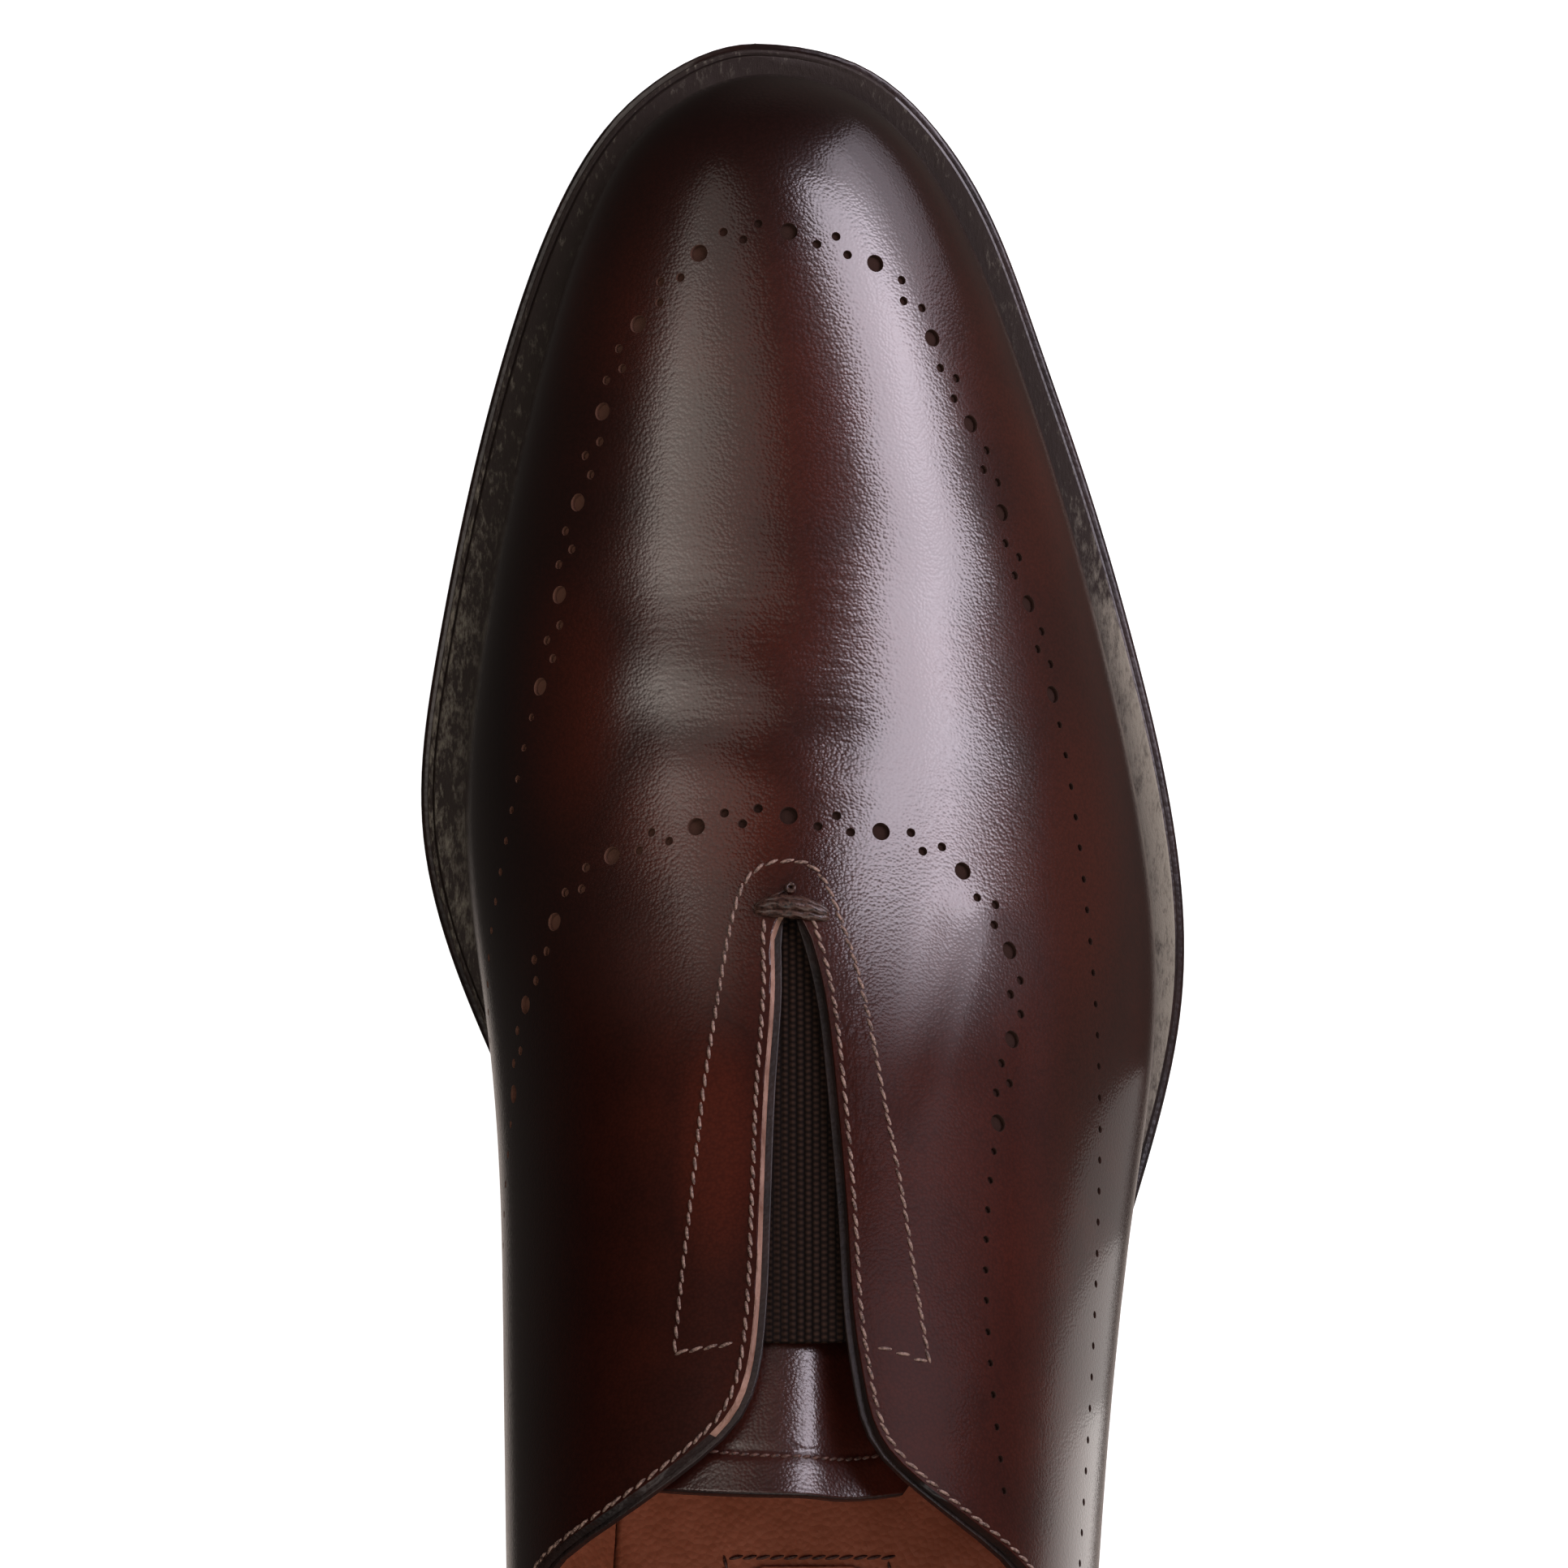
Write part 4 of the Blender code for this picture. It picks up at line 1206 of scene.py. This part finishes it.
def tube(name, x, from_heel, lift, radius, twist=0.0):
    """A strand along plan places, lift mm over the leather, closed at its ends where radius is 0."""
    place = plan_place(x, from_heel)
    centre, up = leather_point(*place, -lift), form_normal(*place)
    beside = np.cross(unit(np.gradient(centre, axis=0)), up)
    turn = np.linspace(0.0, 2 * math.pi, 17)[None, :]
    plies = np.linspace(0.0, twist, len(x))[:, None]
    swell = radius[:, None] * (1.0 + PLY_SWELL * np.cos(PLIES * (turn + plies)))
    ring = np.cos(turn)[..., None] * beside[:, None, :] + np.sin(turn)[..., None] * up[:, None, :]
    return lay_grid(name, centre[:, None, :] + swell[..., None] * ring)


t = np.linspace(0.0, 1.0, 49)
arch, taper = np.sin(math.pi * t) ** 0.4, np.sin(math.pi * t) ** 0.25
bar_x = BAR_INSIDE + (BAR_OUTSIDE - BAR_INSIDE) * t
bar_y = BAR_FROM_HEEL - BAR_TILT * (bar_x - SLIT_MIDDLE) - BAR_BOW * (bar_x - SLIT_MIDDLE) ** 2
Strand = namedtuple("Strand", "offset lift radius")
STRANDS = [Strand(-0.85, 0.35, 0.68), Strand(0.1, 0.85, 0.76), Strand(0.95, 0.35, 0.64)]
strands = [
    tube(f"bar_strand_{i}", bar_x, bar_y + strand.offset * arch,
         (strand.lift + BAR_LIFT) * arch - BAR_DIVE, strand.radius * taper, twist=9.0)
    for i, strand in enumerate(STRANDS)
]
# a finer end of the thread runs from the bar to a small knot in front of it
strands.append(tube(
    "knot_end", -6.0 + 4.0 * t, 185.2 + 2.0 * t, 0.35 * arch - 0.2, 0.2 * taper, twist=12.0))
KNOT_X, KNOT_FROM_HEEL, KNOT_RADIUS, KNOT_TURNS = -1.8, 187.2, 0.5, 1.1
loop = 2 * KNOT_TURNS * math.pi * t
strands.append(tube(
    "knot_loop", KNOT_X + KNOT_RADIUS * np.cos(loop), KNOT_FROM_HEEL + KNOT_RADIUS * np.sin(loop),
    0.3 + 0.3 * t, 0.3 * taper, twist=6.0))
bar = join(strands)
bar.name = bar.data.name = "bar_tack_thread"
dress(bar, bar_thread)
finish_piece(bar, "thread", "bar_tack", smooth=60)

# %% [markdown]
# ## Sole
# Under the upper come the welt, the outsole and the heel. All three are plates that follow the sole's
# outline, so one function lofts them: at each station it draws the section as a ring and the rings are
# skinned. The welt shows most in the photograph: its top is rough and worn, its rim is dressed.

# %% Plates of the sole
EdgeStep = namedtuple("EdgeStep", "rise set_back")
OUTSOLE_EDGE = [EdgeStep(*row) for row in (
    (1.0, 2.6), (1.0, 0.55), (0.95, 0.2), (0.86, 0.0), (0.6, 0.0), (0.36, 0.1), (0.18, 0.5),
    (0.05, 1.1), (0.0, 1.5), (0.0, 4.0),
)]
INSOLE_EDGE = [EdgeStep(*row) for row in (
    (1.0, 2.5), (1.0, 0.9), (0.93, 0.3), (0.8, 0.0), (0.0, 0.0),
)]


def sole_point(side, s, set_back):
    x, y = outline("sole", side, s)
    nx, ny = outward("sole", side, s)
    return x - nx * set_back, y - ny * set_back


def feather_point(side, s, set_back):
    """The upper's lower edge seen from above, moved inwards by set_back."""
    point = form(side, s, FOOT_ANGLE)
    nx, ny = outward("upper", side, s)
    return point[..., 0] - nx * set_back, point[..., 1] - ny * set_back


def plate(name, edge_point, foot, thickness, edge, count=150):
    """A bent leather plate: edge_point gives its outline, foot its underside."""
    s = np.linspace(0.0, S_TOE, count)
    ring = []
    for side, steps in ((INSIDE, edge), (OUTSIDE, edge[::-1])):
        for step in steps:
            narrow = np.minimum(step.set_back, 0.8 * rib_width(side, s))
            x, y = edge_point(side, s, narrow)
            ring.append(np.stack([x, y, foot(y) + thickness * step.rise], axis=-1))
    ring.append(ring[0])
    return lay_grid(name, np.stack(ring, axis=1))


print("sole outline at the ball:", np.round(outline("sole", OUTSIDE, station_at(170.0)), 1))

# %% [markdown]
# The sole's edge is leather pared smooth, stained and burnished with hot wax. The welt's top was left
# rougher: its dye is rubbed to grey streaks along its length, most at the outside of the ball, where
# part of the grey is painted light. The corner under the upper keeps the dark dye as painted shade.

# %% Leathers of the sole
# grey patches on the welt: wear, and on the outside also painted light where the key light falls
WELT_WEAR_AND_LIGHT = [Patch(50.0, 188.0, 26.0, 70.0, 0.34), Patch(-48.0, 205.0, 34.0, 90.0, 0.09)]


def make_welt_leather():
    """Dyed welt, rubbed to grey in streaks along its length, most at the outside of the ball;
    there part of the grey is painted light.
    """
    material, add, shader, where = new_material(
        "worn_welt_leather", Roughness=0.62, IOR=1.5, Specular_IOR_Level=0.35)
    drawn = add("Mapping", Vector=where, Scale=(1.0, 0.3, 1.0))
    fibre = add("TexNoise", Vector=drawn, Scale=per_mm(0.7), Detail=6.0, Roughness=0.75)
    rub = add("TexNoise", Vector=where, Scale=per_mm(9), Detail=4.0, Roughness=0.6)
    # painted light: the outside patch greys the welt more where the key light falls
    outside, inside = (patch_mask(add, where, patch) for patch in WELT_WEAR_AND_LIGHT)
    ball = add("Math", outside, inside, operation="ADD")
    patchy = add("Math", rub, 0.35, ball, operation="MULTIPLY_ADD")
    more = add("Math", fibre, patchy, operation="ADD")
    wear_and_light = add("MapRange", Value=more, From_Min=0.74, From_Max=1.02)
    # painted shade in the corner under the upper, found by occlusion; wax and dust gather there too
    corner = add("AmbientOcclusion", Distance=6.0 * MM, samples=4)
    clear_of_painted_shade = add("MapRange", Value=corner.outputs["AO"], From_Min=0.5, From_Max=0.85)
    grey_share = add("Math", wear_and_light, clear_of_painted_shade, operation="MULTIPLY")
    dye = add("Mix", Factor=grey_share, A=linear("#342a26"), B=linear("#ada696"), data_type="RGBA")
    bump = add("Bump", Height=fibre, Strength=0.7, Distance=0.2 * MM)
    feed(shader, Base_Color=dye, Normal=bump)
    return material


welt_leather = make_welt_leather()
dressed_edge = make_plain_leather(
    "dressed_sole_edge", "#2b1814", "#170d0b", 0.8, 0.4, Roughness=0.36, IOR=1.5, Coat_Weight=0.25,
    Coat_Roughness=0.2)
sole_leather = make_plain_leather(
    "oak_bark_sole_leather", "#5a3a28", "#3f281c", 0.8, 0.4, Roughness=0.5, IOR=1.5)
heel_rubber = make_plain_leather(
    "heel_top_rubber", "#1b1918", "#121010", 0.7, 0.3, Roughness=0.65, IOR=1.52)
print("made", welt_leather.name, dressed_edge.name, sole_leather.name, heel_rubber.name)

# %% Outsole
outsole = plate("outsole_leather", sole_point, tread_height, OUTSOLE_THICKNESS, OUTSOLE_EDGE)
dress(outsole, dressed_edge, sole_leather)
paint_faces(outsole, SECOND, lambda face, centre: face.normal.z < -FLAT)
finish_piece(outsole, "sole_leather", "outsole", smooth=35)

# %% Welt
WELT_RIM_FROM = 12.0
GROOVE, GROOVE_END, GROOVE_FADE = 0.12, 10.0, 30.0


def make_welt(count=150):
    side, s = walk_round(count)
    inner = np.stack(feather_point(side, s, UPPER_WALL), axis=-1)
    outer = np.stack(sole_point(side, s, WELT_SETBACK), axis=-1)
    width = np.linalg.norm(outer - inner, axis=-1)
    # a groove runs along the rim on the inside of the foot and dies out over the toe
    groove = 1.0 - GROOVE * np.clip((GROOVE_END - outer[:, 0]) / GROOVE_FADE, 0.0, 1.0)
    profile = [
        (0.0, 0.75), (0.15, 0.92), (0.45, 1.0), (0.75, 1.0), (0.95, groove), (1.15, 1.0), (2.0, 1.0),
    ]

    def row(spot, rise):
        height = welt_foot(spot[:, 1]) + WELT_THICKNESS * rise
        return np.concatenate([spot, height[:, None]], axis=1)

    ring = []
    for set_back, rise in [(0.0, 0.0)] + profile:
        share = np.minimum(set_back / width, 0.7)[:, None]
        ring.append(row(outer + (inner - outer) * share, rise))
    ring += [row(inner, 1.0), row(inner, 0.0)]
    ring.append(ring[0])
    return lay_grid("welt_strip", np.stack(ring, axis=1))


welt = make_welt()
dress(welt, welt_leather, dressed_edge)
paint_faces(
    welt, SECOND, lambda face, centre: abs(face.normal.z) < FLAT and centre[0] > WELT_RIM_FROM)
finish_piece(welt, "welt_leather", "welt", smooth=35)

# %% [markdown]
# The heel is a stack of leather lifts over a rubber top piece. Fine grooves between the lifts are cut
# into the side's profile, and the breast in front is hollowed a little, as on a hand-made heel.

# %% Heel
TOP_PIECE = 0.235
HEEL_SIDE = [EdgeStep(*row) for row in (
    (0.0, 2.4), (0.03, 1.7), (0.22, 1.5), (0.235, 1.9), (0.25, 1.9), (0.265, 1.4), (0.44, 1.15),
    (0.45, 1.3), (0.46, 1.12), (0.63, 0.95), (0.64, 1.1), (0.65, 0.93), (0.82, 0.8), (0.83, 0.95),
    (0.84, 0.8), (1.0, 0.7),
)]


def make_heel(round_steps=60, breast_steps=16):
    breast = station_at(HEEL_BREAST)
    half = np.linspace(breast, 0, round_steps + 1)
    s = np.concatenate([half, half[-2::-1]])
    side = np.array([INSIDE] * (round_steps + 1) + [OUTSIDE] * round_steps)
    rows = []
    for step in HEEL_SIDE:
        x, y = sole_point(side, s, step.set_back)
        t = np.linspace(0.0, 1.0, breast_steps + 1)[1:]
        hollow = HEEL_BREAST_HOLLOW * 4 * t * (1 - t)
        x = np.concatenate([x, x[-1] + (x[0] - x[-1]) * t])
        y = np.concatenate([y, y[-1] + (y[0] - y[-1]) * t - hollow])
        rows.append(np.stack([x, y, step.rise * (tread_height(y) - GAP)], axis=-1))
    piece = lay_grid("heel_stack", np.array(rows))
    with editing(piece):
        bpy.ops.mesh.select_mode(type="EDGE")
        bpy.ops.mesh.select_all(action="DESELECT")
        bpy.ops.mesh.select_non_manifold()
        bpy.ops.mesh.fill_holes(sides=0)
        bpy.ops.mesh.select_all(action="SELECT")
        bpy.ops.mesh.normals_make_consistent(inside=False)
    return piece


heel = make_heel()
dress(heel, dressed_edge, heel_rubber)
paint_faces(heel, SECOND, lambda face, centre: centre[2] < TOP_PIECE * tread_height(centre[1]))
finish_piece(heel, "heel_leather", "heel", smooth=30)

# %% [markdown]
# ## Insole
# Inside, a sock of tan calf covers the footbed, with a small oblong patch of the same calf sewn on it
# under the heel. The patch is a grid that follows the bent footbed and is thickened.

# %% Insole and its patch
def footbed_height(y):
    return welt_foot(y) + WELT_THICKNESS + GAP + INSOLE_RISE


SOCK_OVERLAP = 0.9
SOCK_CLEARANCE = UPPER_WALL - SOCK_OVERLAP


def sock_point(side, s, set_back):
    """The sock's hidden rim runs a little into the lining, so that no gap shows beside it."""
    return feather_point(side, s, SOCK_CLEARANCE + set_back)


insole = plate("insole_sock", sock_point, welt_foot, WELT_THICKNESS + GAP + INSOLE_RISE, INSOLE_EDGE)
dress(insole, calf_lining)
finish_piece(insole, "sock_leather", "insole", smooth=35)

PATCH_X, PATCH_Y, PATCH_CORNER = (-9.6, 10.8), (48.0, 92.8), 4.0
PATCH_THICKNESS, SEAM_OUTSIDE, SEAM_LIFT = 0.55, 1.2, 0.05
u, v = np.meshgrid(np.linspace(-1, 1, 31), np.linspace(-1, 1, 41))
half_x, half_y = (PATCH_X[1] - PATCH_X[0]) / 2, (PATCH_Y[1] - PATCH_Y[0]) / 2
tuck = np.maximum(np.abs(v) * half_y - (half_y - PATCH_CORNER), 0.0)
room = half_x - PATCH_CORNER + np.sqrt(np.maximum(PATCH_CORNER**2 - tuck**2, 0.0))
patch_x = sum(PATCH_X) / 2 + u * room
patch_y = sum(PATCH_Y) / 2 + v * half_y
patch = lay_grid(
    "sock_patch", np.stack([patch_x, patch_y, footbed_height(patch_y) + PATCH_THICKNESS], axis=-1),
    heart=(0.0, 70.0, -200.0))
dress(patch, calf_lining)
thicken(patch, PATCH_THICKNESS)
finish_piece(patch, "sock_leather", smooth=35)

turn = np.linspace(0.0, 2 * math.pi, 801)
square = np.maximum(
    np.abs(np.cos(turn)) / (half_x + SEAM_OUTSIDE), np.abs(np.sin(turn)) / (half_y + SEAM_OUTSIDE))
seam_x = sum(PATCH_X) / 2 + np.cos(turn) / square
seam_y = sum(PATCH_Y) / 2 + np.sin(turn) / square
seam = np.stack([seam_x, seam_y, footbed_height(seam_y) + SEAM_LIFT], axis=-1)
sock_stitches = sew("sock_stitches", [(seam, np.tile((0.0, 0.0, 1.0), (len(seam), 1)))], pitch=1.9)
dress(sock_stitches, hem_thread)
finish_piece(sock_stitches, "sock_leather", smooth=60)

# %% [markdown]
# ## Studio
# The shoe stands on a pale seamless floor. A large softbox in front on the right draws the long bright
# highlight over the outside of the vamp, and weak nested ones on the left the grey sheen. The dark gap
# between the two lets the deep colour of the leather show along the ridge. Small cards beside the toe
# and on the floor stand for the bright paper that polished walls mirror.

# %% Floor and backdrop
def make_paper(name, glow):
    """Seamless paper lit evenly from behind the camera, so part of its light is a steady glow."""
    material, add, shader, where = new_material(
        name, Roughness=0.9, IOR=1.4, Emission_Color=linear("#ffffff"), Emission_Strength=glow)
    fibre = add("TexNoise", Vector=where, Scale=per_mm(3), Detail=4.0)
    tone = add("Mix", Factor=fibre, A=linear("#bdbcbb"), B=linear("#c4c3c2"), data_type="RGBA")
    feed(shader, Base_Color=tone)
    return material


floor = new_object(bpy.ops.mesh.primitive_plane_add, "floor", size=10.0, location=(0, 0, 0))
backdrop = new_object(
    bpy.ops.mesh.primitive_uv_sphere_add, "backdrop", segments=48, ring_count=24, radius=4.5)
for stage in (floor, backdrop):
    dress(stage, make_paper(stage.name + "_paper", glow=1.0))
    # the paper is seen but lights nothing: the leather mirrors only the softboxes and the room
    stage.visible_glossy = stage.visible_diffuse = stage.visible_shadow = False
print("stage:", floor.name, backdrop.name)

# %% Softboxes
AIM = Vector((0.015, 0.055, 0.05))


def softbox(name, centre, across, along, radiance, colour):
    """A flat softbox: its centre, seen from the vamp, and the vectors of its two sides, in metres."""
    centre, across, along = Vector(centre), Vector(across), Vector(along)
    away = across.cross(along).normalized()
    if away.dot(centre) < 0:
        across, away = -across, -away
    lamp = new_object(bpy.ops.object.light_add, name, type="AREA", location=AIM + centre)
    lamp.data.shape = "RECTANGLE"
    lamp.data.size, lamp.data.size_y = across.length, along.length
    lamp.data.energy = radiance * math.pi * across.length * along.length
    lamp.data.color = linear(colour)[:3]
    lamp.rotation_euler = Matrix(
        (across.normalized(), along.normalized(), away)).transposed().to_euler()
    lamp.visible_camera = False
    print(name, "watts:", round(lamp.data.energy, 1))


# a name, the centre, the two sides, the radiance and the colour
SOFTBOXES = [
    ("key_softbox", (1.21, 1.62, 1.78), (0.895, 0.252, -0.352), (0.344, 2.772, 2.864), 6.8, "#fbf1ff"),
    ("left_core", (-0.74, 0.2, 0.89), (0.226, 0.311, 0.03), (0.34, 0.05, 0.24), 1.3, "#fff3ea"),
    ("left_softbox", (-0.61, 0.27, 0.98), (0.312, 0.43, 0.03), (0.6, 0.09, 0.42), 0.9, "#fff3ea"),
    ("left_skirt", (-0.5, 0.4, 1.06), (0.5, 0.688, 0.05), (0.9, 0.13, 0.63), 0.5, "#fff3ea"),
    ("back_scrim", (0.35, -0.84, 1.09), (1.4, 0.0, -0.45), (0.16, 0.71, 0.5), 1.6, "#fff8f2"),
    ("toe_upper_card", (0.3, 0.34, 0.195), (0.2, -0.24, 0.0), (-0.05, -0.04, 0.13), 2.6, "#fbf1ff"),
    ("toe_card", (0.35, 0.38, 0.065), (0.2, -0.24, 0.0), (-0.03, -0.02, 0.14), 1.5, "#fbf1ff"),
    ("toe_table", (0.37, 0.39, -0.065), (0.2, -0.24, 0.0), (0.0, 0.0, 0.13), 0.7, "#fbf1ff"),
    ("floor_card", (0.11, -0.165, -0.049), (0.12, 0.0, 0.0), (0.0, 0.14, 0.0), 1.2, "#fff8f4"),
    ("floor_card_middle", (0.11, -0.083, -0.049), (0.12, 0.0, 0.0), (0.0, 0.024, 0.0), 0.65, "#fff8f4"),
    ("floor_card_front", (0.11, -0.059, -0.049), (0.12, 0.0, 0.0), (0.0, 0.024, 0.0), 0.25, "#fff8f4"),
]
for row in SOFTBOXES:
    softbox(*row)

# %% [markdown]
# What the leather mirrors beside the softboxes is the room. It is kept almost dark, as with black cards
# beside the shoe, and only the paper right under the shoe is bright, which draws a thin rim of light.

# %% The room
world = bpy.data.worlds.new("studio")
bpy.context.scene.world = world
world.use_nodes = True
add = partial(add_node, world.node_tree)
way = add("TexCoord").outputs["Generated"]
axes = add("SeparateXYZ", Vector=way)
below = add(
    "MapRange", Value=axes.outputs["Z"], From_Min=-0.92, From_Max=-0.99, To_Min=0.03, To_Max=0.45)
front = add("VectorMath", way, (0.8, 0.7, 0.0), operation="DOT_PRODUCT")
right = add("MapRange", Value=front, From_Min=0.3, From_Max=0.8, interpolation_type="SMOOTHSTEP")
low = add("MapRange", Value=axes.outputs["Z"], From_Min=0.15, From_Max=-0.25, To_Max=0.06)
light = add("Math", right, low, below, operation="MULTIPLY_ADD")
feed(world.node_tree.nodes["Background"], Strength=light, Color=linear("#ffeee4"))
print("room:", world.name)

# %% [markdown]
# The photograph looks straight down on the shoe with a long lens, cropped behind the throat. The lens
# follows from its scale: 8.75 pixels to a millimetre at 1.3 m.

# %% Camera
SENSOR, PIXELS_PER_MM, DISTANCE, IMAGE_WIDTH = 36.0, 8.75, 1300, 1932
camera = new_object(
    bpy.ops.object.camera_add, "Camera", location=(-0.0027, 0.0488, 1.308), rotation=(0.0, 0.0, 0.0))
camera.data.sensor_width = SENSOR
camera.data.lens = SENSOR * PIXELS_PER_MM * DISTANCE / IMAGE_WIDTH
bpy.context.scene.camera = camera
bpy.context.scene.view_settings.view_transform = "Standard"
print("lens:", round(camera.data.lens, 1), "mm")
